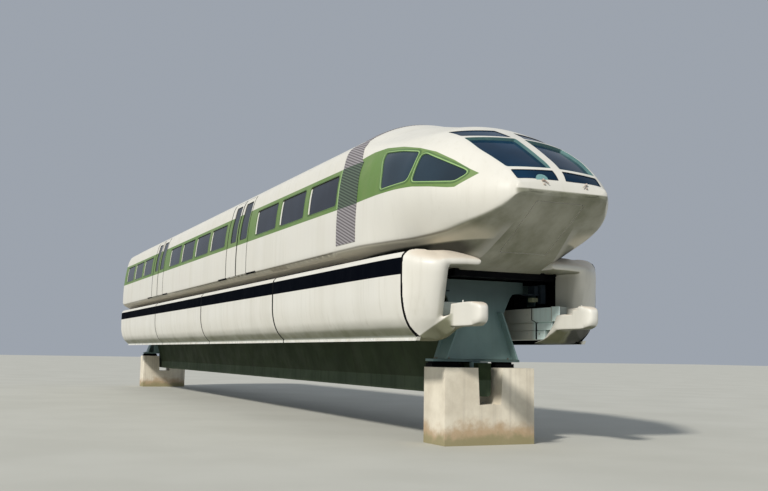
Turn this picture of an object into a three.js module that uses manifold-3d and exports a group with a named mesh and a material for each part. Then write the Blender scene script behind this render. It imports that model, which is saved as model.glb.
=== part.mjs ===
// Magnetic-levitation monorail car, end section, on its length of guideway beam.
// Millimetres, +Z up, +X towards the nose, +Y to the car's left.
// Stations are written from the seam between the first skirt panel and the nose fairing (x = 0),
// and the whole model is moved by SEAM_X so that its box is centred on the origin.

import * as THREE from 'three';
import { mergeVertices } from 'three/addons/utils/BufferGeometryUtils.js';
import Module from 'manifold-3d';

const wasm = await Module();
wasm.setup();

// Overall places
const SEAM_X = 12490;          // from the model's middle to the front skirt seam
const NOSE_TIP_X = 1600;
const NOSE_BACK_X = -2800;     // joint between nose shell and passenger walls
const REAR_X = -25500;
const GAP = 0.3;               // between pieces that touch
const SIDES = [['right', -1], ['left', 1]];

// Body shell
const SKIN = 60;               // nose shell thickness
const WALL_INSET = 80;         // side wall thickness
const FLOOR_Z = 3330;
const SILL_Y = 1640;           // inner face of the sill beam at the foot of a wall
const SILL_Z = 3160;
const FLOOR_BOTTOM_Y = 1450;
const FLOOR_BOTTOM_Z = 3050;
const BULKHEAD_THICK = 80;

// Windows and doors along the side
const WINDOW_WIDTH = 1420;
const WINDOW_BOTTOM_Z = 4060;
const WINDOW_TOP_Z = 4620;
const WINDOW_RADIUS = 90;
const WINDOW_GROUPS = [        // centres along x, front to rear
  [-3570, -5310, -7050],
  [-11150, -12870, -14610, -16330],
  [-20700, -22440, -24180],
];
const DOOR_CENTRES = [['front', -9280], ['rear', -18750]];
const DOOR_HALF = 880;
const DOOR_BOTTOM_Z = 3235;
const DOOR_TOP_Z = 5080;
const DOOR_SEAM = 8;
const DOOR_THICK = 50;
const DOOR_PANE = { from: 110, to: 620, bottom: 4050, top: 4990, radius: 60 };
const GLASS_THICK = 12;
const GLASS_MARGIN = 60;

// Skirts
const SEAM_PITCH = 6250;
const SKIRT_REAR_X = -25500;
const SKIRT_SEAM = 16;
const SKIRT_COUNT = 4;

// Guideway beam and its concrete blocks
const DECK_TOP_Z = 2650;
const DECK_THICK = 150;
const DECK_HALF = 1400;
const DECK_FRONT_HALF = 830;
const BEAM_FRONT_X = -700;
const BEAM_MIDDLE_X = -13520;
const BLOCK_FRONT_X = -460;
const BLOCK_REAR_X = -1190;
const BLOCK_HALF = 830;
const BLOCK_HEIGHT = 1224;

const colours = {
  cream: [0xe9e7df, 0.45, 0.0],
  lower: [0xdedcd2, 0.5, 0.0],
  glass: [0x1d2530, 0.1, 0.0],
  steel: [0x66757a, 0.55, 0.3],
  dark: [0x24282b, 0.7, 0.2],
  concrete: [0xc9bca6, 0.95, 0.0],
  magnet: [0xb9bdb6, 0.6, 0.1],
  mesh: [0x8d8c96, 0.6, 0.3],
  inside: [0x8a8d8c, 0.8, 0.0],
};

function material(name) {
  const [color, roughness, metalness] = colours[name];
  return new THREE.MeshStandardMaterial({ color, roughness, metalness });
}

// Solids: a closed geometry goes in, booleans act on it, and a mesh comes out

function signedVolume(position, index) {
  const a = new THREE.Vector3();
  const b = new THREE.Vector3();
  const c = new THREE.Vector3();
  let total = 0;
  for (let i = 0; i < index.count; i += 3) {
    a.fromBufferAttribute(position, index.getX(i));
    b.fromBufferAttribute(position, index.getX(i + 1));
    c.fromBufferAttribute(position, index.getX(i + 2));
    total += a.dot(b.cross(c));
  }
  return total / 6;
}

function solid(geometry) {
  const plain = geometry.index ? geometry.clone() : mergeVertices(stripped(geometry), 1e-4);
  const merged = mergeVertices(stripped(plain), 1e-4);
  const order = Uint32Array.from(merged.index.array);
  if (signedVolume(merged.attributes.position, merged.index) < 0) {
    for (let i = 0; i < order.length; i += 3) {
      [order[i], order[i + 1]] = [order[i + 1], order[i]];
    }
  }
  const vertProperties = Float32Array.from(merged.attributes.position.array);
  return new wasm.Manifold(new wasm.Mesh({ numProp: 3, vertProperties, triVerts: order }));
}

function stripped(geometry) {
  const copy = geometry.clone();
  copy.deleteAttribute('normal');
  copy.deleteAttribute('uv');
  return copy;
}

function fuse(...solids) {
  return solids.reduce((sum, next) => sum.add(next));
}

function cut(base, ...tools) {
  return tools.reduce((rest, tool) => rest.subtract(tool), base);
}

function geometryOf(manifold) {
  const mesh = manifold.getMesh();
  const geometry = new THREE.BufferGeometry();
  geometry.setAttribute('position', new THREE.BufferAttribute(Float32Array.from(mesh.vertProperties), 3));
  geometry.setIndex(new THREE.BufferAttribute(Uint32Array.from(mesh.triVerts), 1));
  geometry.computeVertexNormals();
  return geometry;
}

// Outlines

function outline(points) {
  return new THREE.Shape(points.map(([u, v]) => new THREE.Vector2(u, v)));
}

function roundedBox(u0, u1, v0, v1, radius) {
  const shape = new THREE.Shape();
  shape.moveTo(u0 + radius, v0);
  shape.lineTo(u1 - radius, v0);
  shape.absarc(u1 - radius, v0 + radius, radius, -Math.PI / 2, 0, false);
  shape.lineTo(u1, v1 - radius);
  shape.absarc(u1 - radius, v1 - radius, radius, 0, Math.PI / 2, false);
  shape.lineTo(u0 + radius, v1);
  shape.absarc(u0 + radius, v1 - radius, radius, Math.PI / 2, Math.PI, false);
  shape.lineTo(u0, v0 + radius);
  shape.absarc(u0 + radius, v0 + radius, radius, Math.PI, 1.5 * Math.PI, false);
  return shape;
}

const CURVE_STEPS = 4;

function extrude(shape, depth) {
  return new THREE.ExtrudeGeometry(shape, { depth, bevelEnabled: false, curveSegments: CURVE_STEPS });
}

// outline in (y, z), swept along x
function sweepX(shape, x0, x1) {
  const geometry = extrude(shape, x1 - x0);
  const turn = new THREE.Matrix4().set(0, 0, 1, x0, 1, 0, 0, 0, 0, 1, 0, 0, 0, 0, 0, 1);
  return solid(geometry.applyMatrix4(turn));
}

// outline in (x, z), swept along y
function sweepY(shape, y0, y1) {
  const geometry = extrude(shape, y1 - y0);
  const turn = new THREE.Matrix4().set(1, 0, 0, 0, 0, 0, -1, y1, 0, 1, 0, 0, 0, 0, 0, 1);
  return solid(geometry.applyMatrix4(turn));
}

// outline in (x, y), swept along z
function sweepZ(shape, z0, z1) {
  const geometry = extrude(shape, z1 - z0);
  geometry.translate(0, 0, z0);
  return solid(geometry);
}

function block(x0, x1, y0, y1, z0, z1) {
  const geometry = new THREE.BoxGeometry(x1 - x0, y1 - y0, z1 - z0);
  geometry.translate((x0 + x1) / 2, (y0 + y1) / 2, (z0 + z1) / 2);
  return solid(geometry);
}

// box on one side of the car, y given as distances from the middle plane
function sideBlock(side, x0, x1, near, far, z0, z1) {
  return side > 0 ? block(x0, x1, near, far, z0, z1) : block(x0, x1, -far, -near, z0, z1);
}

function sideSweepY(side, shape, near, far) {
  return side > 0 ? sweepY(shape, near, far) : sweepY(shape, -far, -near);
}

// outline in (distance from the middle plane, z), swept along x on one side
function sideSweepX(side, points, x0, x1) {
  return sweepX(outline(points.map(([y, z]) => [side * y, z])), x0, x1);
}

// Body sections: one row per station, half of the section from roof to keel
// x, top z, windscreen edge y z, roof edge y z, window top y z, belt y z, crease y z, keel y z, bottom z
const bodyStations = [
  [-2800, 5700, 1300, 5250, 1570, 5070, 1710, 4680, 1809, 3970, 1820, 3270, 900, 2730, 2730],
  [-1900, 5500, 1230, 5130, 1510, 4950, 1690, 4660, 1800, 3970, 1815, 3270, 860, 2730, 2730],
  [-970, 5285, 1120, 5020, 1400, 4860, 1610, 4640, 1770, 3970, 1670, 3270, 830, 2730, 2730],
  [-350, 5155, 990, 4975, 1250, 4820, 1460, 4640, 1700, 3975, 1465, 3283, 780, 2730, 2730],
  [20, 4998, 925, 4868, 1180, 4725, 1380, 4550, 1600, 3970, 1350, 3294, 710, 2808, 2808],
  [350, 4845, 918, 4715, 1115, 4590, 1280, 4420, 1500, 3930, 1243, 3305, 656, 2920, 2935],
  [660, 4665, 915, 4535, 1060, 4420, 1200, 4250, 1380, 3880, 1145, 3335, 600, 3104, 3104],
  [1020, 4430, 845, 4315, 970, 4220, 1090, 4066, 1190, 3820, 1022, 3390, 530, 3337, 3337],
  [1300, 4230, 776, 4120, 865, 4055, 940, 3970, 1000, 3830, 915, 3490, 460, 3505, 3517],
  [1500, 4025, 747, 3930, 790, 3895, 815, 3855, 830, 3800, 810, 3660, 420, 3646, 3648],
  [1575, 3870, 730, 3850, 765, 3835, 780, 3815, 785, 3785, 780, 3745, 400, 3715, 3712],
  [1600, 3803, 450, 3800, 480, 3797, 495, 3792, 500, 3785, 490, 3774, 250, 3766, 3763],
];

const WINDSCREEN_STEPS = 3;
const EDGE_INDEX = 3;

function midpoint(before, a, b, after) {
  return (-before + 9 * a + 9 * b - after) / 16;
}

// half section, from the roof's middle to the keel's middle, as [y, z] pairs
function halfSection(row) {
  const [, top, ...rest] = row;
  const bottom = rest.pop();
  const keys = [];
  for (let i = 0; i < rest.length; i += 2) {
    keys.push([rest[i], rest[i + 1]]);
  }
  const keel = keys.pop();
  const [edge] = keys;
  const half = [];
  for (let i = 0; i < WINDSCREEN_STEPS; i += 1) {
    const t = i / WINDSCREEN_STEPS;
    half.push([edge[0] * t, top - (top - edge[1]) * t * t]);
  }
  keys.forEach((key, i) => {
    half.push(key);
    if (i > 0 && i < keys.length - 1) {
      const before = keys[i - 1];
      const next = keys[i + 1];
      const after = keys[Math.min(i + 2, keys.length - 1)];
      half.push([midpoint(before[0], key[0], next[0], after[0]), midpoint(before[1], key[1], next[1], after[1])]);
    }
  });
  const crease = keys[keys.length - 1];
  half.push([(crease[0] + keel[0]) / 2, (crease[1] + keel[1]) / 2]);
  half.push(keel);
  half.push([0, bottom]);
  return half;
}

function fullRing(half) {
  const mirrored = half.slice(1, -1).reverse().map(([y, z]) => [-y, z]);
  return [...half, ...mirrored];
}

// ring moved along its own normals, inwards for a positive amount
function insetRing(ring, amount) {
  const count = ring.length;
  return ring.map(([y, z], i) => {
    const [ay, az] = ring[(i + count - 1) % count];
    const [by, bz] = ring[(i + 1) % count];
    const length = Math.hypot(by - ay, bz - az) || 1;
    return [y + ((bz - az) / length) * amount, z - ((by - ay) / length) * amount];
  });
}

// closed body through rings of [y, z] pairs; every ring is turned to run clockwise
function loft(rows) {
  const stations = rows.map(({ x, ring }) => {
    const area = THREE.ShapeUtils.area(ring.map(([y, z]) => new THREE.Vector2(y, z)));
    return { x, ring: area > 0 ? ring.slice().reverse() : ring };
  });
  const count = stations[0].ring.length;
  const positions = stations.flatMap(({ x, ring }) => ring.flatMap(([y, z]) => [x, y, z]));
  const index = [];
  for (let s = 0; s < stations.length - 1; s += 1) {
    for (let i = 0; i < count; i += 1) {
      const j = (i + 1) % count;
      const a = s * count + i;
      const b = s * count + j;
      index.push(a, b, a + count, b, b + count, a + count);
    }
  }
  const cap = (ring, start, flip) => {
    const points = ring.map(([y, z]) => new THREE.Vector2(y, z));
    THREE.ShapeUtils.triangulateShape(points, []).forEach(([a, b, c]) => {
      index.push(...(flip ? [start + a, start + b, start + c] : [start + c, start + b, start + a]));
    });
  };
  cap(stations[0].ring, 0, true);
  cap(stations[stations.length - 1].ring, (stations.length - 1) * count, false);
  const geometry = new THREE.BufferGeometry();
  geometry.setAttribute('position', new THREE.Float32BufferAttribute(positions, 3));
  geometry.setIndex(index);
  return solid(geometry);
}

// the nose's outer form, moved inwards by an amount, between two stations
function noseForm(inset, lastX = NOSE_TIP_X) {
  const rows = bodyStations.filter(([x]) => x <= lastX);
  return loft(rows.map((row) => ({ x: row[0], ring: insetRing(fullRing(halfSection(row)), inset) })));
}

const noseOuter = noseForm(0);
const FOOTWELL = [[550, FLOOR_Z], [1500, 3930]];   // the cab floor rises over the coupler's pocket
const aboveFloor = sweepY(outline([
  [NOSE_BACK_X - 100, FLOOR_Z], ...FOOTWELL, [NOSE_TIP_X, 6000], [NOSE_BACK_X - 100, 6000],
]), -2000, 2000);

function noseHollow(inset) {
  const open = loft([
    { x: NOSE_BACK_X - 50, ring: insetRing(fullRing(halfSection(bodyStations[0])), inset) },
    ...bodyStations.filter(([x]) => x < 1400).map((row) => (
      { x: row[0], ring: insetRing(fullRing(halfSection(row)), inset) })),
  ]);
  return open.intersect(aboveFloor);
}

// Windscreen, seen in plan
const SCREEN_TOP_X = -250;
const SCREEN_BOTTOM_X = 1520;
const SCREEN_BARS = { mullion: 65, rim: 45, crossbarX: 1415, crossbarHalf: 35, roofBarX: 330, roofBarHalf: 40 };

function edgeHalfAt(x) {
  for (let i = 0; i < bodyStations.length - 1; i += 1) {
    const [x0, , y0] = bodyStations[i];
    const [x1, , y1] = bodyStations[i + 1];
    if (x >= x0 && x <= x1) {
      return y0 + ((y1 - y0) * (x - x0)) / (x1 - x0);
    }
  }
  return 0;
}

function screenOutline(inset) {
  const stops = [SCREEN_TOP_X + inset, 20, 350, 660, 1020, 1300, SCREEN_BOTTOM_X - inset];
  const left = stops.map((x) => [x, edgeHalfAt(x) - inset]);
  const right = left.map(([x, y]) => [x, -y]).reverse();
  return outline([...left, ...right]);
}

function screenPrism(inset) {
  return sweepZ(screenOutline(inset), 3750, 6000);
}

function screenBars() {
  const { mullion, crossbarX, crossbarHalf, roofBarX, roofBarHalf, rim } = SCREEN_BARS;
  const rimSolid = cut(screenPrism(GAP), screenPrism(rim));
  const bars = [
    block(SCREEN_TOP_X, SCREEN_BOTTOM_X, -mullion, mullion, 3750, 6000),
    block(crossbarX - crossbarHalf, crossbarX + crossbarHalf, -1200, 1200, 3750, 6000),
    block(roofBarX - roofBarHalf, roofBarX + roofBarHalf, -1200, 1200, 3750, 6000),
  ].map((bar) => bar.intersect(screenPrism(GAP)));
  return fuse(rimSolid, ...bars);
}

const BAR_DEPTH = 20;
const SCREEN_GLASS_DEPTH = 40;

// Cab side windows, in (x, z)
const cabWindows = [
  [[-930, 4095], [-860, 4600], [-230, 4590], [-60, 4520], [-330, 4095]],
  [[-110, 4095], [170, 4480], [330, 4420], [880, 4090], [780, 4000], [640, 3985]],
];

function cabWindowPrisms(side, inset) {
  return cabWindows.map((points) => {
    const middle = points.reduce(([sx, sz], [x, z]) => [sx + x / points.length, sz + z / points.length], [0, 0]);
    const shrunk = points.map(([x, z]) => {
      const reach = Math.hypot(x - middle[0], z - middle[1]);
      const scale = (reach - inset) / reach;
      return [middle[0] + (x - middle[0]) * scale, middle[1] + (z - middle[1]) * scale];
    });
    return sideSweepY(side, outline(shrunk), 900, 2000);
  });
}

// Coupler hatch in the nose's underside, in (x, z) along the middle plane
const HATCH = { topX: 1500, topZ: 3648, bottomX: 478, bottomZ: 3000, half: 420, thick: 30, depth: 200, seam: 6 };

function hatchSlab(inset, depthFrom, depthTo) {
  const run = HATCH.topX - HATCH.bottomX;
  const rise = HATCH.topZ - HATCH.bottomZ;
  const length = Math.hypot(run, rise);
  const [ux, uz] = [run / length, rise / length];
  const [nx, nz] = [-uz, ux];
  const corner = (along, depth) => [
    HATCH.bottomX + ux * along + nx * depth,
    HATCH.bottomZ + uz * along + nz * depth,
  ];
  const points = [
    corner(inset, depthFrom),
    corner(length - inset, depthFrom),
    corner(length - inset, depthTo),
    corner(inset, depthTo),
  ];
  return sweepY(outline(points), -HATCH.half + inset, HATCH.half - inset);
}

function noseShell() {
  const cabWindowTools = SIDES.flatMap(([, side]) => cabWindowPrisms(side, 0));
  return cut(noseOuter, noseHollow(SKIN), screenPrism(0), ...cabWindowTools, hatchSlab(0, -200, HATCH.depth));
}

function noseHatch() {
  const seams = hatchSlab(HATCH.seam, -200, HATCH.thick);
  const hingeEdge = hatchSlab(GAP, -200, HATCH.thick).intersect(block(
    HATCH.topX - 40, HATCH.topX + 200, -HATCH.half + HATCH.seam, HATCH.half - HATCH.seam, 3000, 4000,
  ));
  return noseOuter.intersect(fuse(seams, hingeEdge));
}

function coupler() {
  const shank = block(650, 1000, -110, 110, 3290, 3450);
  return shank.intersect(hatchSlab(GAP, HATCH.thick + 20, HATCH.depth - GAP));
}

function windscreenFrame() {
  return cut(noseOuter, noseForm(BAR_DEPTH, 1575)).intersect(screenBars());
}

function windscreenGlass() {
  const sheet = cut(noseForm(BAR_DEPTH + GAP, 1500), noseForm(SCREEN_GLASS_DEPTH, 1500));
  return sheet.intersect(screenPrism(GAP));
}

function cabGlass(side) {
  const sheet = cut(noseForm(SKIN + GAP, 1300), noseForm(SKIN + GLASS_THICK, 1300));
  const reach = outline([[-1000, 4020], [-930, 4660], [150, 4560], [960, 4080], [860, 3920], [-150, 3940]]);
  return sheet.intersect(sideSweepY(side, reach, 900, 2000));
}

// Passenger body: constant section behind the nose
const mainHalf = halfSection(bodyStations[0]);
const CREASE_INDEX = mainHalf.length - 4;

function insetHalf(half, amount) {
  return insetRing(fullRing(half), amount).slice(0, half.length);
}

function wallOutline(outerInset, innerInset) {
  const outer = insetHalf(mainHalf, outerInset).slice(EDGE_INDEX, CREASE_INDEX + 1);
  const inner = insetHalf(mainHalf, innerInset).slice(EDGE_INDEX, CREASE_INDEX).reverse();
  return { outer, inner };
}

function wallSection() {
  const { outer, inner } = wallOutline(0, WALL_INSET);
  return [...outer, [1720, SILL_Z], [SILL_Y, SILL_Z], [SILL_Y, FLOOR_Z], [1738, FLOOR_Z], ...inner];
}

function windowPrism(side, centre, grow) {
  const half = WINDOW_WIDTH / 2 + grow;
  const shape = roundedBox(centre - half, centre + half, WINDOW_BOTTOM_Z - grow, WINDOW_TOP_Z + grow, WINDOW_RADIUS);
  return sideSweepY(side, shape, 1400, 2000);
}

function doorPrism(side, centre, inset, sillGap) {
  const half = DOOR_HALF - inset;
  const shape = roundedBox(centre - half, centre + half, DOOR_BOTTOM_Z + sillGap, DOOR_TOP_Z - inset, 60);
  return sideSweepY(side, shape, 1200, 2000);
}

function sideWall(side) {
  const wall = sideSweepX(side, wallSection(), REAR_X + BULKHEAD_THICK + GAP, NOSE_BACK_X - GAP);
  const windows = WINDOW_GROUPS.flat().map((centre) => windowPrism(side, centre, 0));
  const doors = DOOR_CENTRES.map(([, centre]) => doorPrism(side, centre, 0, 0));
  return cut(wall, ...windows, ...doors);
}

function doorPair(side, centre) {
  const { outer, inner } = wallOutline(0, DOOR_THICK);
  const section = [...outer, [1770, 3200], [1710, 3230], ...inner];
  const slab = sideSweepX(side, section, centre - DOOR_HALF, centre + DOOR_HALF);
  const panes = [-1, 1].map((leaf) => {
    const [x0, x1] = [centre + leaf * DOOR_PANE.from, centre + leaf * DOOR_PANE.to].sort((a, b) => a - b);
    return sideSweepY(side, roundedBox(x0, x1, DOOR_PANE.bottom, DOOR_PANE.top, DOOR_PANE.radius), 1200, 2000);
  });
  return cut(slab.intersect(doorPrism(side, centre, DOOR_SEAM, GAP)), ...panes);
}

function sideGlass(side, centres) {
  const { outer, inner } = wallOutline(WALL_INSET + GAP, WALL_INSET + GLASS_THICK);
  const sheet = sideSweepX(side, [...outer, ...inner], REAR_X, NOSE_BACK_X);
  const reach = WINDOW_WIDTH / 2 + GLASS_MARGIN;
  const shape = outline([
    [Math.min(...centres) - reach, WINDOW_BOTTOM_Z - GLASS_MARGIN],
    [Math.max(...centres) + reach, WINDOW_BOTTOM_Z - GLASS_MARGIN],
    [Math.max(...centres) + reach, WINDOW_TOP_Z + GLASS_MARGIN],
    [Math.min(...centres) - reach, WINDOW_TOP_Z + GLASS_MARGIN],
  ]);
  return sheet.intersect(sideSweepY(side, shape, 1200, 2000));
}

function roofPanel() {
  const outer = insetHalf(mainHalf, 0).slice(0, EDGE_INDEX + 1);
  const inner = insetHalf(mainHalf, WALL_INSET).slice(0, EDGE_INDEX + 1);
  const mirror = (points) => points.slice(1).reverse().map(([y, z]) => [-y, z]);
  const section = [...mirror(outer), ...outer, ...inner.slice().reverse(), ...mirror(inner).reverse()];
  const lifted = section.map(([y, z]) => [y - Math.sign(y) * GAP, z + GAP]);
  return sweepX(outline(lifted), REAR_X + BULKHEAD_THICK + GAP, NOSE_BACK_X - GAP);
}

function underframe() {
  const half = [
    [1719, SILL_Z - GAP],
    [SILL_Y - GAP, SILL_Z - GAP],
    [SILL_Y - GAP, FLOOR_Z],
  ];
  const points = [
    [-FLOOR_BOTTOM_Y, FLOOR_BOTTOM_Z],
    [FLOOR_BOTTOM_Y, FLOOR_BOTTOM_Z],
    ...half,
    ...half.slice().reverse().map(([y, z]) => [-y, z]),
  ];
  return sweepX(outline(points), REAR_X + BULKHEAD_THICK + GAP, NOSE_BACK_X - GAP);
}

// Rear bulkhead with the gangway doorway
const GANGWAY = { half: 450, bottom: FLOOR_Z, top: 5280, thick: 45, seam: 6 };

function rearBulkhead() {
  const half = [...mainHalf.slice(0, CREASE_INDEX + 1), [1720, SILL_Z], [FLOOR_BOTTOM_Y, FLOOR_BOTTOM_Z]];
  const mirror = half.slice(1).reverse().map(([y, z]) => [-y, z]);
  const plate = sweepX(outline([...half, ...mirror]), REAR_X, REAR_X + BULKHEAD_THICK);
  return cut(plate, block(REAR_X - 10, REAR_X + 200, -GANGWAY.half, GANGWAY.half, GANGWAY.bottom, GANGWAY.top));
}

function gangwayDoor() {
  const { seam } = GANGWAY;
  return block(
    REAR_X, REAR_X + GANGWAY.thick,
    -GANGWAY.half + seam, GANGWAY.half - GAP,
    GANGWAY.bottom + seam, GANGWAY.top - seam,
  );
}

// Ventilation mesh wrapped over the joint between cab and passenger room
const MESH_BAND = { rear: -2740, front: -1890, thick: 8, bottom: 3310 };

function meshBand() {
  const skin = cut(noseForm(-MESH_BAND.thick), noseForm(-GAP));
  return skin.intersect(block(MESH_BAND.rear, MESH_BAND.front, -2000, 2000, MESH_BAND.bottom, 6000));
}

// Cab inside
function cabPartition() {
  const wall = noseHollow(SKIN + GAP).intersect(block(-2060, -2020, -2000, 2000, FLOOR_Z + GAP, 6000));
  return cut(wall, block(-2100, -2000, -350, 350, FLOOR_Z + 60, 5200));
}

function driverDesk() {
  const profile = outline([
    [150, FLOOR_Z + GAP], [549, FLOOR_Z + GAP], [700, 3427], [760, 3900], [620, 3960], [120, 3900],
  ]);
  return sweepY(profile, -700, 700);
}

function driverSeat() {
  const foot = block(-480, -280, -100, 100, FLOOR_Z + GAP, 3700);
  const cushion = block(-620, -130, -250, 250, 3700, 3810);
  const back = sweepY(outline([[-620, 3790], [-520, 3790], [-640, 4450], [-730, 4450]]), -240, 240);
  return fuse(foot, cushion, back);
}

// Skirts, in (distance from the middle plane, z)
const skirtOuter = [
  [1780, 2980], [1830, 2920], [1845, 2820], [1846, 2500], [1835, 2235],
  [1785, 2000], [1710, 1840], [1640, 1757], [1574, 1695], [1569, 1631],
];
const skirtInner = [
  [1539, 1631], [1544, 1711], [1612, 1787], [1676, 1864], [1747, 2016],
  [1795, 2240], [1806, 2500], [1805, 2815], [1792, 2900], [1745, 2950],
];

function skirtPanel(side, number) {
  const front = -SEAM_PITCH * (number - 1) - (number > 1 ? SKIRT_SEAM / 2 : 0);
  const rear = number === SKIRT_COUNT ? SKIRT_REAR_X : -SEAM_PITCH * number + SKIRT_SEAM / 2;
  return sideSweepX(side, [...skirtOuter, ...skirtInner], rear, front);
}

// Nose fairing of a skirt: x, how far the outer corner has rounded in
const fairingStations = [[16, 0], [90, 8], [160, 32], [220, 78], [262, 140], [290, 230], [300, 330]];
const FAIRING = { inner: 1180, leanBottom: 1950, leanTop: 2750, cheekRear: -330, cheekThick: 40 };

function fairing(side) {
  const rows = fairingStations.map(([x, corner]) => {
    const shrink = 1 - corner / 1400;
    const outer = skirtOuter.map(([y, z]) => [Math.max(y - corner, FAIRING.inner + 40), z]);
    const ring = [...outer, [FAIRING.inner + 30, 1631 + corner * 0.4], [FAIRING.inner, 1900], [FAIRING.inner, 2940]];
    return { x, ring: ring.map(([y, z]) => [side * y, 2300 + (z - 2300) * shrink]) };
  });
  const wedge = [[-10, 1500], [60, 1500], [60, FAIRING.leanBottom], [300, FAIRING.leanTop], [320, 3000], [-10, 3000]];
  const leaning = sideSweepY(side, outline(wedge), 900, 2000);
  const corner = loft(rows).intersect(leaning);
  const cheek = sideBlock(side, FAIRING.cheekRear, 60, FAIRING.inner, FAIRING.inner + FAIRING.cheekThick, 2230, 2900);
  const visorTop = [[-330, 2950], [20, 2950], [300, 2860], [300, 2830], [-330, 2880]];
  const visor = sideSweepY(side, outline(visorTop), 660, 1500);
  return cut(fuse(corner, cheek, visor), noseForm(-GAP));
}

// Horn-shaped beam end in front of the magnets, in (x, z)
const HORN = { near: 855, far: 1095 };
const hornOutline = [
  [150.3, 1720], [330, 1860], [900, 1860], [970, 1890], [990, 1950], [990, 2140], [950, 2195],
  [760, 2200], [750, 2140], [580, 2140], [570, 2090], [151, 2090],
];

function horn(side) {
  const body = sideSweepY(side, outline(hornOutline), HORN.near, HORN.far);
  const plan = new THREE.Shape();
  const middle = side * (HORN.near + HORN.far) / 2;
  const radius = (HORN.far - HORN.near) / 2;
  plan.moveTo(0, middle - radius);
  plan.lineTo(990 - radius, middle - radius);
  plan.absarc(990 - radius, middle, radius, -Math.PI / 2, Math.PI / 2, false);
  plan.lineTo(0, middle + radius);
  return body.intersect(sweepZ(plan, 1500, 2500));
}

// Levitation magnets along the foot of each side
const MAGNET = { near: 880, far: 1300, bottom: 1700, top: 2220, rear: -25200, front: 150, gapX: -580, gapHalf: 20 };

function magnetRow(side) {
  const section = [
    [905, MAGNET.bottom], [MAGNET.near, 2000], [MAGNET.near, MAGNET.top],
    [MAGNET.far, MAGNET.top], [MAGNET.far, MAGNET.bottom],
  ];
  const row = sideSweepX(side, section, MAGNET.rear, MAGNET.front);
  const { gapX, gapHalf, near } = MAGNET;
  const slots = [gapX];
  for (let i = 1; i < SKIRT_COUNT; i += 1) {
    slots.push(gapX - SEAM_PITCH * i);
  }
  const tools = slots.map((x) => sideBlock(side, x - gapHalf, x + gapHalf, near - 50, near + 300, 1600, 2300));
  const noseCut = sideBlock(side, -340, 200, 1170, 1400, 1600, 2300);
  return cut(row, ...tools, noseCut);
}

// Levitation bogie frames, wrapped round the guideway deck
const BOGIE = { length: 5200, pitch: 5650, frontX: -3150 };
const bogieLegs = [
  [1420, 2700], [1420, 2210], [1300.3, 2210], [1300.3, 1760], [1560, 1760], [1560, 2470],
  [1804.4, 2470], [1805.4, 2560], [1560, 2560], [1560, 3049.7], [0, 3049.7], [0, 2700],
];

function bogieFrame(number) {
  const front = BOGIE.frontX - (number - 1) * BOGIE.pitch;
  const rear = front - BOGIE.length;
  const half = bogieLegs.slice(0, -2);
  const mirror = half.slice().reverse().map(([y, z]) => [-y, z]);
  const frame = sweepX(outline([...half, ...mirror]), rear, front);
  const skids = [-1, 1].flatMap((side) => [
    sideBlock(side, rear + 300, rear + 900, 700, 900, DECK_TOP_Z + GAP, 2710),
    sideBlock(side, front - 900, front - 300, 700, 900, DECK_TOP_Z + GAP, 2710),
  ]);
  return fuse(frame, ...skids);
}

// Guideway: deck with its guide rails and stator packs
const beamRearX = 2 * BEAM_MIDDLE_X - BEAM_FRONT_X;

function beamDeck() {
  const bottom = DECK_TOP_Z - DECK_THICK;
  const slab = sweepX(outline([
    [-DECK_HALF, DECK_TOP_Z], [DECK_HALF, DECK_TOP_Z], [DECK_HALF, 2300], [1360, 2300],
    [1360, 2480], [1250, 2480], [1250, 2235], [1000, 2235], [1000, 2440], [600, bottom],
    [-600, bottom], [-1000, 2440], [-1000, 2235], [-1250, 2235], [-1250, 2480],
    [-1360, 2480], [-1360, 2300], [-DECK_HALF, 2300],
  ]), beamRearX + 400, BEAM_FRONT_X - 400);
  const ends = block(beamRearX, BEAM_FRONT_X, -DECK_FRONT_HALF, DECK_FRONT_HALF, bottom, DECK_TOP_Z);
  return fuse(slab, ends);
}

function beamWeb() {
  const top = DECK_TOP_Z - DECK_THICK - GAP;
  const box = sweepX(outline([
    [-560, top], [560, top], [120, 1010], [120, 800], [80, 760], [-80, 760], [-120, 800], [-120, 1010],
  ]), beamRearX + 452, BEAM_FRONT_X - 452);
  const chord = sweepX(outline([
    [-120, 1300], [120, 1300], [120, 820], [100, 775], [60, 760], [-60, 760], [-100, 775], [-120, 820],
  ]), beamRearX - 50, BEAM_FRONT_X + 50);
  return fuse(box, chord);
}

const endPlate = [
  [600, 2499.7], [450, 2070], [576, 1360], [830, 1360], [830, 1330],
  [-830, 1330], [-830, 1360], [-576, 1360], [-450, 2070], [-600, 2499.7],
];

function mirrorX(x) {
  return 2 * BEAM_MIDDLE_X - x;
}

function beamEnd(place) {
  const [x0, x1] = [place(BEAM_FRONT_X), place(BEAM_FRONT_X - 450)].sort((a, b) => a - b);
  const pedestal = sweepX(outline(endPlate), x0, x1);
  const pads = [-1, 1].map((side) => sideBlock(side, x0 + 60, x1 - 60, 400, 700, BLOCK_HEIGHT + GAP, 1340));
  const chordWay = block(x0 - 10, x1 + 10, -120 - GAP, 120 + GAP, 1200, 1300 + GAP);
  return cut(fuse(pedestal, ...pads), chordWay);
}

function plinthBlock(place) {
  const [x0, x1] = [place(BLOCK_FRONT_X), place(BLOCK_REAR_X)].sort((a, b) => a - b);
  return sweepX(outline([
    [-BLOCK_HALF, 0], [BLOCK_HALF, 0], [BLOCK_HALF, BLOCK_HEIGHT], [230, BLOCK_HEIGHT],
    [200, 636], [-200, 636], [-230, BLOCK_HEIGHT], [-BLOCK_HALF, BLOCK_HEIGHT],
  ]), x0, x1);
}

// The model
const car = new THREE.Group();

function place(name, form, colour) {
  const mesh = new THREE.Mesh(geometryOf(form), material(colour));
  mesh.name = name;
  car.add(mesh);
}

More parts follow.
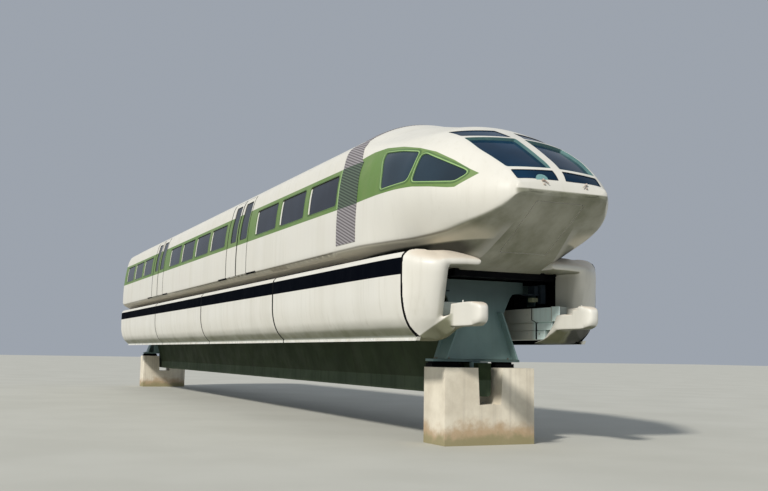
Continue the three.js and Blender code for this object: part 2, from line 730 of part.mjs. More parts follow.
place('plinth_block_front', plinthBlock((x) => x), 'concrete');
place('plinth_block_rear', plinthBlock(mirrorX), 'concrete');
place('beam_end_front', beamEnd((x) => x), 'steel');
place('beam_end_rear', beamEnd(mirrorX), 'steel');
place('beam_web', beamWeb(), 'steel');
place('beam_deck', beamDeck(), 'steel');

for (let number = 1; number <= 4; number += 1) {
  place(`bogie_frame_${number}`, bogieFrame(number), 'dark');
}

for (const [name, side] of SIDES) {
  place(`magnet_row_${name}`, magnetRow(side), 'magnet');
  place(`horn_${name}`, horn(side), 'cream');
  place(`skirt_fairing_${name}`, fairing(side), 'lower');
  for (let number = 1; number <= SKIRT_COUNT; number += 1) {
    place(`skirt_${name}_${number}`, skirtPanel(side, number), 'lower');
  }
  place(`side_wall_${name}`, sideWall(side), 'cream');
  for (const [doorway, centre] of DOOR_CENTRES) {
    place(`door_${name}_${doorway}`, doorPair(side, centre), 'cream');
  }
  WINDOW_GROUPS.forEach((centres, i) => place(`window_glass_${name}_${i + 1}`, sideGlass(side, centres), 'glass'));
  place(`cab_glass_${name}`, cabGlass(side), 'glass');
}

place('underframe', underframe(), 'dark');
place('roof', roofPanel(), 'cream');
place('nose_shell', noseShell(), 'cream');
place('windscreen_frame', windscreenFrame(), 'cream');
place('windscreen_glass', windscreenGlass(), 'glass');
place('nose_hatch', noseHatch(), 'cream');
place('coupler', coupler(), 'dark');
place('mesh_band', meshBand(), 'mesh');
place('rear_bulkhead', rearBulkhead(), 'cream');
place('gangway_door', gangwayDoor(), 'inside');
place('cab_partition', cabPartition(), 'inside');
place('driver_desk', driverDesk(), 'dark');
place('driver_seat', driverSeat(), 'dark');

car.position.x = SEAM_X;

const model = new THREE.Group();
model.add(car);
export default model;
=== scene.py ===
"""Looks of the magnetic levitation monorail car and its length of guideway beam.

Metres, +Z up, +X towards the nose. As in the part's source, x is written from the seam between the
first skirt panel and the nose fairing, and every piece is moved by SEAM_X into the row frame.
"""

import math

import bmesh
import bpy
import numpy as np
from mathutils import Matrix, Vector, geometry


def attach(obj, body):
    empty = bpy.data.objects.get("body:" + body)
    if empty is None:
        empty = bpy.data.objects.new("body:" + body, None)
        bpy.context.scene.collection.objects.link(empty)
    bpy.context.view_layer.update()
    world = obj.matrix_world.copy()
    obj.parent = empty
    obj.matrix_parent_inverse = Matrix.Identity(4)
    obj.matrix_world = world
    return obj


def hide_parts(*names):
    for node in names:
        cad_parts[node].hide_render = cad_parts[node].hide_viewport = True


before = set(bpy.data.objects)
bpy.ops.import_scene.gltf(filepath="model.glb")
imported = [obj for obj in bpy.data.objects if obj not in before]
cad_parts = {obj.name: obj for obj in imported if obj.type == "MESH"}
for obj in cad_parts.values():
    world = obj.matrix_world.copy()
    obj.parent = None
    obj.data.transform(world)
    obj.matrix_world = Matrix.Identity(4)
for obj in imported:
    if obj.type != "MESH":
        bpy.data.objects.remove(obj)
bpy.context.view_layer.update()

# Driving places
SEAM_X = 12.49
NOSE_BACK_X = -2.8
REAR_X = -25.5
WALL_REAR_X = -25.42
SIDES = [("right", -1), ("left", 1)]
SHARP = math.radians(32)

# Body sections, in millimetres: x, top z, then y z of windscreen edge, roof edge, window top, belt, crease
# and keel, and the bottom's z
BODY_STATIONS = np.array([
    [-30000, 5700, 1300, 5250, 1570, 5070, 1710, 4680, 1809, 3970, 1820, 3195, 900, 2730, 2730],
    [-2800, 5700, 1300, 5250, 1570, 5070, 1710, 4680, 1809, 3970, 1820, 3195, 900, 2730, 2730],
    [-1900, 5500, 1230, 5130, 1510, 4950, 1690, 4660, 1800, 3970, 1815, 3195, 860, 2730, 2730],
    [-970, 5285, 1120, 5020, 1400, 4860, 1610, 4640, 1770, 3970, 1670, 3195, 830, 2730, 2730],
    [-350, 5155, 990, 4975, 1250, 4820, 1460, 4640, 1700, 3975, 1465, 3208, 780, 2730, 2730],
    [20, 4998, 925, 4868, 1180, 4725, 1380, 4550, 1600, 3970, 1350, 3234, 710, 2808, 2808],
    [350, 4845, 918, 4715, 1115, 4590, 1280, 4420, 1500, 3930, 1258, 3266, 656, 2920, 2935],
    [660, 4665, 915, 4535, 1060, 4420, 1200, 4250, 1380, 3880, 1182, 3322, 600, 3104, 3104],
    [1020, 4430, 845, 4315, 970, 4220, 1090, 4066, 1190, 3820, 1062, 3405, 530, 3337, 3337],
    [1300, 4230, 776, 4120, 865, 4055, 940, 3970, 1000, 3830, 945, 3520, 460, 3505, 3517],
    [1500, 4025, 747, 3930, 790, 3895, 815, 3855, 830, 3800, 822, 3672, 420, 3646, 3648],
    [1560, 3912, 735, 3884, 770, 3858, 785, 3830, 790, 3790, 780, 3715, 405, 3692, 3690],
    [1582, 3850, 700, 3836, 728, 3820, 740, 3803, 744, 3776, 732, 3738, 385, 3714, 3712],
    [1596, 3804, 600, 3798, 625, 3792, 636, 3785, 638, 3772, 628, 3756, 330, 3738, 3736],
    [1602, 3780, 420, 3778, 445, 3776, 455, 3774, 458, 3770, 450, 3765, 240, 3758, 3757],
    [1603, 3770, 390, 3770, 412, 3770, 420, 3769, 423, 3769, 416, 3768, 220, 3768, 3768],
], float) / 1000
X, TOP, EDGE_Y, EDGE_Z = range(4)
CREASE_Z, BOTTOM = 11, 14

# Places round the section, from the roof's middle (0) to the keel's middle
T_EDGE, T_ROOF, T_TALL, T_BELT, T_CREASE = 1.0, 1.32, 1.73, 2.45, 3.15
T_LOWER, T_KEEL, T_FLAT, T_END = 3.27, 4.2, 4.27, 4.9
CREASE_RADIUS = 0.08
KEEL_RADIUS = 0.012


def column_slopes(s, values):
    """Slopes at the stations that keep every column free of overshoot between them."""
    h = np.diff(s)[:, None]
    rise = np.diff(values, axis=0) / h
    first, second = 2 * h[1:] + h[:-1], h[1:] + 2 * h[:-1]
    with np.errstate(divide="ignore", invalid="ignore"):
        mean = (first + second) / (first / rise[:-1] + second / rise[1:])
    slopes = np.zeros_like(values)
    slopes[1:-1] = np.where(rise[:-1] * rise[1:] > 0, mean, 0)
    slopes[0], slopes[-1] = rise[0], rise[-1]
    return slopes


STATION_S = np.concatenate([[0], np.cumsum(np.hypot(*np.diff(BODY_STATIONS[:, [X, TOP]], axis=0).T))])
STATION_S += NOSE_BACK_X - STATION_S[1]
STATION_SLOPES = column_slopes(STATION_S, BODY_STATIONS)
S_END = STATION_S[-1]


def hermite(t, h, a, slope_a, b, slope_b):
    return ((2 * t**3 - 3 * t**2 + 1) * a + (t**3 - 2 * t**2 + t) * h * slope_a
            + (3 * t**2 - 2 * t**3) * b + (t**3 - t**2) * h * slope_b)


def station(s):
    """Rows of section values at places s along the body."""
    i = np.clip(np.searchsorted(STATION_S, s, side="right") - 1, 0, len(STATION_S) - 2)
    h = (STATION_S[i + 1] - STATION_S[i])[:, None]
    t = (s - STATION_S[i])[:, None] / h
    return hermite(t, h, BODY_STATIONS[i], STATION_SLOPES[i], BODY_STATIONS[i + 1], STATION_SLOPES[i + 1])


S_TABLE = np.linspace(STATION_S[0], S_END, 20001)
X_TABLE = station(S_TABLE)[:, X]


def s_at(x):
    """Place along the body of a station at x."""
    return np.interp(x, X_TABLE, S_TABLE)


def unit(v):
    return v / np.maximum(np.linalg.norm(v, axis=1, keepdims=True), 1e-9)


def body_points(s, t):
    """Points on the body's skin. t runs round the section, and its sign is the side."""
    s, t = np.asarray(s, float), np.asarray(t, float)
    side = np.where(t < 0, -1.0, 1.0)
    u = np.abs(t)[:, None]
    row = station(s)
    edge, roof, tall, belt, crease, keel = (row[:, [at, at + 1]] for at in range(EDGE_Y, BOTTOM, 2))
    bottom = np.stack([np.zeros(len(s)), row[:, BOTTOM]], axis=1)
    keys = [edge, roof, tall, belt, crease]
    chords = [np.linalg.norm(b - a, axis=1, keepdims=True) for a, b in zip(keys, keys[1:])]
    ways = [unit(b - a) for a, b in zip(keys, keys[1:])]
    tangents = [unit(np.stack([row[:, EDGE_Y], -2 * (row[:, TOP] - row[:, EDGE_Z])], axis=1))]
    tangents += [unit(ways[i] * chords[i + 1] + ways[i + 1] * chords[i]) for i in range(3)]
    tangents.append(unit(1.5 * ways[3] - 0.5 * tangents[3]))
    down, flat = unit(keel - crease), unit(bottom - keel)
    reach = np.linalg.norm(keel - crease, axis=1, keepdims=True)
    crease_r = np.minimum(CREASE_RADIUS, 0.3 * np.minimum(reach, chords[3]))
    keel_r = np.minimum(KEEL_RADIUS, 0.3 * np.minimum(reach, keel[:, :1]))
    crease_start, crease_end = crease - tangents[4] * crease_r, crease + down * crease_r
    keel_start, keel_end = keel - down * keel_r, keel + flat * keel_r
    keys[4] = crease_start
    top, drop = row[:, [TOP]], row[:, [TOP]] - row[:, [EDGE_Z]]
    out = np.where(u <= T_EDGE, np.hstack([u * row[:, [EDGE_Y]], top - drop * u**2]), 0.0)
    knots = [T_EDGE, T_ROOF, T_TALL, T_BELT, T_CREASE]
    for i in range(4):
        local = (u - knots[i]) / (knots[i + 1] - knots[i])
        span = np.linalg.norm(keys[i + 1] - keys[i], axis=1, keepdims=True)
        curve = hermite(local, span, keys[i], tangents[i], keys[i + 1], tangents[i + 1])
        out = np.where((u > knots[i]) & (u <= knots[i + 1]), curve, out)
    for start, a, b, end, middle in ((T_CREASE, crease_start, crease_end, T_LOWER, crease),
                                     (T_KEEL, keel_start, keel_end, T_FLAT, keel)):
        local = (u - start) / (end - start)
        curve = (1 - local)**2 * a + 2 * local * (1 - local) * middle + local**2 * b
        out = np.where((u > start) & (u <= end), curve, out)
    for start, a, b, end in ((T_LOWER, crease_end, keel_start, T_KEEL), (T_FLAT, keel_end, bottom, T_END)):
        local = (u - start) / (end - start)
        out = np.where((u > start) & (u <= end), a + (b - a) * local, out)
    return np.stack([row[:, X], side * out[:, 0], out[:, 1]], axis=1)


def skin_points(flat, depth):
    """Points at a depth under the skin, for (s, t) pairs. The depth fades out at the very tip."""
    s, t = flat[:, 0], flat[:, 1]
    on = body_points(s, t)
    if np.all(depth == 0):
        return on
    step = 1e-4
    along = body_points(np.minimum(s + step, S_END), t) - body_points(s - step, t)
    turn = np.where(np.abs(t) > T_END - 2 * step, np.sign(t) * (T_END - 2 * step), t)
    round_way = body_points(s, turn + step) - body_points(s, turn - step)
    normal = unit(np.cross(along, round_way))
    fade = np.clip((S_END - s) / 0.2, 0.02, 1.0)
    return on - normal * (np.asarray(depth) * fade)[:, None]


def flank_t(s, z):
    """Place round the section where the flank is at height z."""
    low, high = np.full(len(s), T_EDGE), np.full(len(s), T_LOWER)
    for _ in range(30):
        middle = (low + high) / 2
        above = body_points(s, middle)[:, 2] > z
        low, high = np.where(above, middle, low), np.where(above, high, middle)
    return (low + high) / 2


def on_flank(side, points):
    """(s, t) pairs of (x, z) points on one flank."""
    points = np.asarray(points, float)
    s = s_at(points[:, 0])
    return np.stack([s, side * flank_t(s, points[:, 1])], axis=1)


def on_roof(points):
    """(s, t) pairs of (x, share of the way from the middle to the windscreen's edge) points."""
    points = np.asarray(points, float)
    return np.stack([s_at(points[:, 0]), points[:, 1]], axis=1)


def on_bottom(points):
    """(s, t) pairs of (x, y) points on the flat underside between the keels."""
    points = np.asarray(points, float)
    s = s_at(points[:, 0])
    half = np.abs(body_points(s, np.full(len(s), T_FLAT))[:, 1])
    sign = np.where(points[:, 1] < 0, -1.0, 1.0)
    return np.stack([s, sign * (T_END - (T_END - T_FLAT) * np.abs(points[:, 1]) / half)], axis=1)


def to_bottom(loop):
    """(s, t) pairs turned so that the keel's middle is 0, and back."""
    loop = np.asarray(loop, float)
    return np.stack([loop[:, 0], np.where(loop[:, 1] < 0, -1, 1) * (T_END - np.abs(loop[:, 1]))], axis=1)


# Outlines


def divided(loop, *steps):
    """A loop with its long sides divided, one greatest step for each direction."""
    loop = np.asarray(loop, float)
    out = []
    for a, b in zip(loop, np.roll(loop, -1, 0)):
        count = max(1, int(np.ceil(max(abs(b - a) / np.asarray(steps)))))
        out.extend(a + (b - a) * k / count for k in range(count))
    return np.array(out)


def rounded(points, radius, steps=5):
    """A polygon with each corner replaced by an arc-like curve. A radius may be given for each corner."""
    points = [np.array(p, float) for p in points]
    radii = radius if isinstance(radius, (list, tuple)) else [radius] * len(points)
    out = []
    for i, corner in enumerate(points):
        before, after = points[i - 1] - corner, points[(i + 1) % len(points)] - corner
        reach = [min(radii[i], 0.48 * np.linalg.norm(v)) for v in (before, after)]
        a = corner + before / np.linalg.norm(before) * reach[0]
        b = corner + after / np.linalg.norm(after) * reach[1]
        for k in range(steps + 1):
            u = k / steps
            out.append((1 - u)**2 * a + 2 * u * (1 - u) * (corner * 0.92 + (a + b) * 0.04) + u**2 * b)
    return np.array(out)


def rectangle(u0, u1, v0, v1, radius=0.0, steps=5):
    corners = [(u0, v0), (u1, v0), (u1, v1), (u0, v1)]
    return rounded(corners, radius, steps) if radius else np.array(corners, float)


def turned_left(loop):
    """The loop counter-clockwise."""
    x, y = loop[:, 0], loop[:, 1]
    area = np.sum(x * np.roll(y, -1) - y * np.roll(x, -1))
    return loop if area > 0 else loop[::-1]


def grown(loop, amount):
    """A loop moved outwards by an amount, or inwards when it is negative."""
    loop = turned_left(np.asarray(loop, float))
    before, after = unit(loop - np.roll(loop, 1, 0)), unit(np.roll(loop, -1, 0) - loop)
    out_before = np.stack([before[:, 1], -before[:, 0]], axis=1)
    out_after = np.stack([after[:, 1], -after[:, 0]], axis=1)
    mean = unit(out_before + out_after)
    stretch = 1 / np.clip(np.sum(mean * out_after, axis=1), 0.5, 1)
    return loop + mean * (amount * stretch)[:, None]


def inside(points, loop):
    """Which points lie in the loop."""
    x, y = points[:, 0][:, None], points[:, 1][:, None]
    a, b = loop, np.roll(loop, -1, 0)
    crosses = (a[:, 1] > y) != (b[:, 1] > y)
    with np.errstate(divide="ignore", invalid="ignore"):
        at = (b[:, 0] - a[:, 0]) * (y - a[:, 1]) / (b[:, 1] - a[:, 1]) + a[:, 0]
    return np.sum(crosses & (x < at), axis=1) % 2 == 1


def distance(points, loop):
    """How far each point lies from the loop's line."""
    a, b = loop[None], np.roll(loop, -1, 0)[None]
    p = points[:, None]
    along = np.clip(np.sum((p - a) * (b - a), 2) / np.maximum(np.sum((b - a)**2, 2), 1e-12), 0, 1)
    return np.min(np.linalg.norm(p - a - (b - a) * along[..., None], axis=2), axis=1)


# Pieces

GRID_CLEAR = 0.012
BARE = ([], [])


def make(name, vertices, faces, material, slot=None, body="car", replaces=(), bevel=0.0, second=None):
    """A mesh piece in the row frame that rides on a body and stands for CAD nodes.

    second is another material and the faces that have it.
    """
    mesh = bpy.data.meshes.new(name)
    moved = np.asarray(vertices, float) + [SEAM_X, 0, 0]
    mesh.from_pydata([tuple(v) for v in moved], [], [tuple(int(i) for i in face) for face in faces])
    mesh.materials.append(material)
    if second:
        mesh.materials.append(second[0])
        for i in second[1]:
            mesh.polygons[i].material_index = 1
    mesh.validate()
    mesh.polygons.foreach_set("use_smooth", [True] * len(mesh.polygons))
    mesh.set_sharp_from_angle(angle=SHARP)
    piece = bpy.data.objects.new(name, mesh)
    bpy.context.scene.collection.objects.link(piece)
    if bevel:
        edges = piece.modifiers.new("bevel", "BEVEL")
        edges.width = bevel
        edges.segments = 2
        edges.limit_method = "ANGLE"
        edges.angle_limit = SHARP
        edges.harden_normals = True
    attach(piece, body)
    if replaces:
        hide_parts(*replaces)
    return piece


def within(points, loops):
    """Which points lie in the first loop and in none of the others."""
    keep = inside(points, loops[0])
    for loop in loops[1:]:
        keep &= ~inside(points, loop)
    return keep


def shell_mesh(loops, lines, depths, from_bottom=False):
    """Closed sheet between two depths: the first loop is its outline and the others are holes."""
    loops = [turned_left(np.asarray(loop, float)) for loop in loops]
    points, edges = [], []
    for loop in loops:
        first = len(points)
        points.extend(loop)
        edges.extend((first + i, first + (i + 1) % len(loop)) for i in range(len(loop)))
    grid = np.array([(s, t) for s in lines[0] for t in lines[1]]).reshape(-1, 2)
    if len(grid):
        grid = grid[within(grid, loops)]
    if len(grid):
        near = np.min([distance(grid, loop) for loop in loops], axis=0)
        points.extend(grid[near > GRID_CLEAR])
    found = geometry.delaunay_2d_cdt([Vector(p) for p in points], edges, [], 0, 1e-7)
    flat = np.array([tuple(v) for v in found[0]])
    triangles = np.array([tuple(face) for face in found[2]])
    triangles = triangles[within(flat[triangles].mean(axis=1), loops)]
    a, b, c = (flat[triangles[:, k]] for k in range(3))
    turn = (b - a)[:, 0] * (c - a)[:, 1] - (b - a)[:, 1] * (c - a)[:, 0]
    triangles = np.where(turn[:, None] > 0, triangles, triangles[:, ::-1])
    if from_bottom:
        flat, triangles = to_bottom(flat), triangles[:, ::-1]
    used, renumbered = np.unique(triangles, return_inverse=True)
    flat, triangles = flat[used], renumbered.reshape(triangles.shape)
    outer, inner = (skin_points(flat, np.full(len(flat), depth)) for depth in depths)
    _, first, same = np.unique(np.round(outer, 5), axis=0, return_index=True, return_inverse=True)
    outer, inner, triangles = outer[first], inner[first], same.reshape(-1)[triangles]
    triangles = triangles[np.all(triangles != np.roll(triangles, 1, 1), axis=1)]
    count = len(outer)
    ways = {(a, b) for tri in triangles.tolist() for a, b in zip(tri, tri[1:] + tri[:1])}
    rim = [(b, a, a + count, b + count) for a, b in ways if (b, a) not in ways]
    faces = triangles.tolist() + (triangles[:, ::-1] + count).tolist() + rim
    return np.vstack([outer, inner]), faces, len(triangles)


def skin_piece(name, loops, lines, depths, material, slot, inner=None, from_bottom=False, **kinds):
    """A piece of skin, with another material on its inner face where one is given."""
    vertices, faces, count = shell_mesh(loops, lines, depths, from_bottom)
    second = None if inner is None else (inner, range(count, 2 * count))
    make(name, vertices, faces, material, slot, second=second, **kinds)


def tube_faces(n, turns, closed=False):
    """Faces between rings of n points: a tube with two end faces, or closed in itself."""
    quads = [[k * n + i, k * n + (i + 1) % n, (k + 1) % turns * n + (i + 1) % n, (k + 1) % turns * n + i]
             for k in range(turns if closed else turns - 1) for i in range(n)]
    if closed:
        return quads
    return [*quads, list(range(n))[::-1], list(range((turns - 1) * n, turns * n))]


class Parts:
    """Gathers closed forms that become one piece."""

    def __init__(self):
        self.vertices = []
        self.faces = []

    def add(self, vertices, faces):
        first = len(self.vertices)
        self.vertices.extend(tuple(v) for v in vertices)
        self.faces.extend([i + first for i in face] for face in faces)
        return self

    def box(self, low, high):
        corners = [(x, y, z) for x in (low[0], high[0]) for y in (low[1], high[1]) for z in (low[2], high[2])]
        sides = [(0, 1, 3, 2), (4, 6, 7, 5), (0, 4, 5, 1), (2, 3, 7, 6), (0, 2, 6, 4), (1, 5, 7, 3)]
        return self.add(corners, sides)

    def side_box(self, side, x, y, z):
        """A box from its x, y and z ranges, with y mirrored on the right side."""
        y = sorted([side * y[0], side * y[1]])
        return self.box((x[0], y[0], z[0]), (x[1], y[1], z[1]))

    def prism(self, outline, axis, low, high):
        """An outline in the two other axes, in x y z order, drawn out along one axis."""
        points = turned_left(np.asarray(outline, float))
        ends = [np.insert(points, axis, at, axis=1) for at in (low, high)]
        faces = tube_faces(len(points), 2)
        if axis == 1:
            faces = [face[::-1] for face in faces]
        return self.add(np.vstack(ends), faces)

    def side_prism(self, side, outline, y):
        """An (x, z) outline drawn out between two y, which are mirrored on the right side."""
        return self.prism(outline, 1, *sorted([side * y[0], side * y[1]]))

    def loft(self, rings):
        """A closed form through rings of equal count."""
        return self.add(np.vstack(rings), tube_faces(len(rings[0]), len(rings)))

    def rod(self, start, end, radius, sides=16, end_radius=None):
        """A round bar between two points."""
        start, end = np.array(start, float), np.array(end, float)
        way = (end - start) / np.linalg.norm(end - start)
        across = np.cross(way, [0, 0, 1] if abs(way[2]) < 0.9 else [1, 0, 0])
        across /= np.linalg.norm(across)
        angles = np.arange(sides) * 2 * math.pi / sides
        ring = np.cos(angles)[:, None] * across + np.sin(angles)[:, None] * np.cross(way, across)
        return self.loft([start + ring * radius, end + ring * (end_radius or radius)])

    def ring(self, loop, section):
        """A bar bent round a (y, z) loop: its section is how far out from the loop, and x."""
        turns = [np.insert(grown(loop, out), 0, x, axis=1) for out, x in section]
        return self.add(np.vstack(turns), tube_faces(len(loop), len(section), closed=True))

    def skin(self, loops, lines, depths):
        """A sheet of skin between two depths."""
        vertices, faces, _ = shell_mesh(loops, lines, depths)
        return self.add(vertices, faces)

    def make(self, name, material, *slot, **kinds):
        piece = make(name, self.vertices, self.faces, material, *slot, **kinds)
        fix = bmesh.new()
        fix.from_mesh(piece.data)
        bmesh.ops.recalc_face_normals(fix, faces=fix.faces)
        fix.to_mesh(piece.data)
        fix.free()
        return piece


def spline(points, steps=6, closed=False):
    """A smooth line through points."""
    points = np.asarray(points, float)
    n = len(points)
    out = []
    for i in range(n if closed else n - 1):
        p = [points[(i + k) % n] if closed else points[min(max(i + k, 0), n - 1)] for k in (-1, 0, 1, 2)]
        h = [max(np.linalg.norm(p[k + 1] - p[k]), 1e-9) for k in range(3)]
        slope_a = (p[2] - p[0]) / (h[0] + h[1]) if i or closed else (p[2] - p[1]) / h[1]
        slope_b = (p[3] - p[1]) / (h[1] + h[2]) if i < n - 2 or closed else (p[2] - p[1]) / h[1]
        for k in range(steps):
            out.append(hermite(k / steps, h[1], p[1], slope_a, p[2], slope_b))
    if not closed:
        out.append(points[-1])
    return np.array(out)


# Materials


class Value:
    """An output in a material's node tree, with arithmetic for numbers."""

    def __init__(self, shader, socket):
        self.shader = shader
        self.socket = socket

    def maths(self, operation, other=0.0):
        return self.shader.value("Math", {0: self, 1: other}, operation=operation)

    def __add__(self, other):
        return self.maths("ADD", other)

    def __sub__(self, other):
        return self.maths("SUBTRACT", other)

    def __mul__(self, other):
        return self.maths("MULTIPLY", other)

    def ramp(self, low, high, to_low=0.0, to_high=1.0):
        """The value stretched from low..high to to_low..to_high, with soft ends."""
        return self.shader.value("MapRange", {0: self, 1: low, 2: high, 3: to_low, 4: to_high},
                                 interpolation_type="SMOOTHSTEP")


class Shader:
    """A node material under construction."""

    def __init__(self, name):
        self.material = bpy.data.materials.new(name)
        self.material.use_nodes = True
        self.tree = self.material.node_tree
        self.tree.nodes.clear()
        self.surface = self.node("BsdfPrincipled")
        self.node("OutputMaterial", {"Surface": Value(self, self.surface.outputs[0])})
        self.place = Value(self, self.node("TexCoord").outputs["Object"])
        self.x, self.y, self.z = self.parts(self.place)

    def feed(self, socket, value):
        """Links a value to a socket, or sets the socket to a number, vector or colour."""
        if isinstance(value, Value):
            self.tree.links.new(value.socket, socket)
        else:
            socket.default_value = (*value, 1.0) if socket.type == "RGBA" else value

    def node(self, kind, inputs=None, **settings):
        made = self.tree.nodes.new("ShaderNode" + kind)
        for key, value in settings.items():
            setattr(made, key, value)
        for key, value in (inputs or {}).items():
            self.feed(made.inputs[key], value)
        return made

    def value(self, kind, inputs, **settings):
        return Value(self, self.node(kind, inputs, **settings).outputs[0])

    def parts(self, vector):
        return [Value(self, part) for part in self.node("SeparateXYZ", {0: vector}).outputs]

    def facing(self):
        """The parts of the skin's world normal."""
        return self.parts(Value(self, self.node("NewGeometry").outputs["Normal"]))

    def noise(self, scale, detail=3.0, rough=0.55, stretch=None):
        where = self.value("Mapping", {"Vector": self.place, "Scale": stretch}) if stretch else self.place
        return self.value("TexNoise", {"Vector": where, "Scale": scale, "Detail": detail, "Roughness": rough})

    def blotches(self, scale):
        return self.noise(scale, 5.0, 0.62).ramp(0.3, 0.72)

    def runs(self, most):
        """Fine upright run marks."""
        return self.noise(1.0, 4.0, 0.62, stretch=(7.0, 7.0, 0.4)).ramp(0.45, 0.75, 0.0, most)

    def mix(self, share, a, b):
        """Colour a with a share of colour b over it."""
        made = self.node("Mix", {0: share}, data_type="RGBA")
        for socket, colour in zip([s for s in made.inputs if s.type == "RGBA"], (a, b)):
            self.feed(socket, colour)
        return Value(self, next(out for out in made.outputs if out.type == "RGBA"))

    def mask(self, ramps, measures):
        """The product of the ramps of some measures."""
        first, *others = [measures[name].ramp(*ends) for name, *ends in ramps]
        for other in others:
            first = first * other
        return first

    def marked(self, colour, marks, measures):
        """A colour with soft-edged marks over it, each one a paint and its ramps."""
        for paint, ramps in marks:
            colour = self.mix(self.mask(ramps, measures), colour, paint)
        return colour

    def set(self, **values):
        for name, value in values.items():
            self.feed(self.surface.inputs[name.replace("_", " ")], value)

    def bump(self, height, strength, depth):
        self.feed(self.surface.inputs["Normal"],
                  self.value("Bump", {"Height": height, "Strength": strength, "Distance": depth}))

    def coat(self, colour, gloss_scale, rough, grain_scale, grain):
        """A coat with an uneven gloss and a fine grain."""
        self.set(Base_Color=colour, Roughness=self.noise(gloss_scale, 4.0).ramp(0.3, 0.7, *rough))
        self.bump(self.noise(grain_scale, 4.0), grain, 0.0015)
        return self.material


CREAM = (0.76, 0.745, 0.68)
BODY_CREAM = (0.705, 0.69, 0.63)
FAIRING_CREAM = (0.72, 0.705, 0.645)
GREEN = (0.120, 0.220, 0.052)
CLOUD_TAN = (0.62, 0.56, 0.46)
GRIME = (0.33, 0.31, 0.22)
# Dirt mixed with painted shade on what faces down
DIRT_AND_SHADE_DARK = (0.092, 0.099, 0.045)
# Painted bounce light under the crease
BOUNCE_LIGHT_TAN = (0.84, 0.76, 0.61)
# A dark line along the crease
CREASE_DARK_LINE = (0.10, 0.085, 0.055)
# Painted light on the strip beside the keel
KEEL_STRIP_LIGHT = (0.42, 0.41, 0.37)
PATCH_TAN = (0.30, 0.25, 0.18)
UNDER_SHADE = (0.014, 0.016, 0.014)
# Where the painted shade under the nose tip begins
TIP_SHADE_EDGE = {"ahead": (1.53, 1.58), "z": (3.808, 3.782)}
# Line under which the painted bounce light gives way to painted shadow
BOUNCE_LIGHT_EDGE = {"at_seam": 3.137, "slope": 0.035}
KEEL_LINE = {"at_seam": 0.705, "slope": -0.17, "most": 0.9}
CHIN_LINE = {"middle": 3.01, "slope": -0.88}

# The green stripe and its swoosh on the cab, as (x, z) of its upper and lower lines
STRIPE_TOP = [(-2.6, 4.71), (-2.15, 4.745), (-1.66, 4.83), (-1.31, 4.845), (-0.77, 4.77),
              (-0.254, 4.652), (0.128, 4.53),
              (0.513, 4.341), (0.815, 4.168), (1.013, 4.068), (1.1, 4.02)]
STRIPE_BOTTOM = [(-2.6, 3.965), (-1.918, 3.975), (-1.149, 3.998), (-0.562, 4.003), (-0.11, 3.992),
                 (0.272, 3.944),
                 (0.609, 3.891), (0.728, 3.883), (0.864, 3.964), (1.013, 4.064), (1.1, 4.12)]
CREASE_LINE = [(x, z) for x, z in zip(BODY_STATIONS[1:11, X], BODY_STATIONS[1:11, CREASE_Z])]
LINE_X = (-2.8, 1.6)
LINE_Z = (3.0, 5.0)


def line_height(shader, points):
    """Height of a line on the flank at each x."""
    at = shader.value("MapRange", {0: shader.x, 1: LINE_X[0] + SEAM_X, 2: LINE_X[1] + SEAM_X})
    curve = shader.node("FloatCurve", {"Value": at})
    line = curve.mapping.curves[0]
    shares = [((x - LINE_X[0]) / (LINE_X[1] - LINE_X[0]), (z - LINE_Z[0]) / (LINE_Z[1] - LINE_Z[0]))
              for x, z in points if LINE_X[0] < x < LINE_X[1]]
    shares = [(0.0, shares[0][1]), *shares, (1.0, shares[-1][1])]
    line.points[0].location, line.points[1].location = shares[0], shares[-1]
    for share in shares[1:-1]:
        line.points.new(*share)
    for point in line.points:
        point.handle_type = "VECTOR"
    curve.mapping.update()
    return shader.value("MapRange", {0: Value(shader, curve.outputs[0]), 3: LINE_Z[0], 4: LINE_Z[1]})


# Soft-edged marks: the paint, and for each measure its values where the mark fades out and where it is whole,
# with the mark's strength at both where it isn't 0 and 1. The measures are metres ahead of the skirt seam,
# across from the middle, over the crease, above the line where the painted bounce light meets the painted
# shadow, beyond the keel and over the chin, and how far the skin faces up or inward.
# Shape of the band of painted bounce light under the crease
BOUNCE_LIGHT_SHAPE = [("crease", 0.0, -0.07, 0.45, 1.0), ("crease", 0.03, 0.005), ("above", -0.012, 0.012),
             ("beyond", 0.05, 0.10)]
BODY_MARKS = [
    # Painted shadow under the bounce-light band, painted light beside the keel, a dark crease line and a
    # repair patch
    (UNDER_SHADE, [("above", 0.008, -0.025), ("beyond", 0.07, 0.24), ("ahead", 0.65, 0.25, 0.0, 0.9),
                   ("up", -0.1, -0.3)]),
    (KEEL_STRIP_LIGHT, [("beyond", 0.0, 0.012), ("beyond", 0.20, 0.035), ("ahead", 1.15, 0.9, 0.0, 0.72),
                  ("ahead", -0.1, 0.3), ("up", -0.1, -0.3)]),
    (CREASE_DARK_LINE, [("crease", -0.004, 0.012), ("crease", 0.045, 0.020), ("ahead", 0.85, 0.1, 0.0, 0.65)]),
    (PATCH_TAN, [("y", -1.0, -1.2, 0.0, 0.55), ("ahead", -6.68, -6.65), ("ahead", -5.62, -5.65),
                 ("z", 3.13, 3.16), ("z", 3.215, 3.185)]),
]


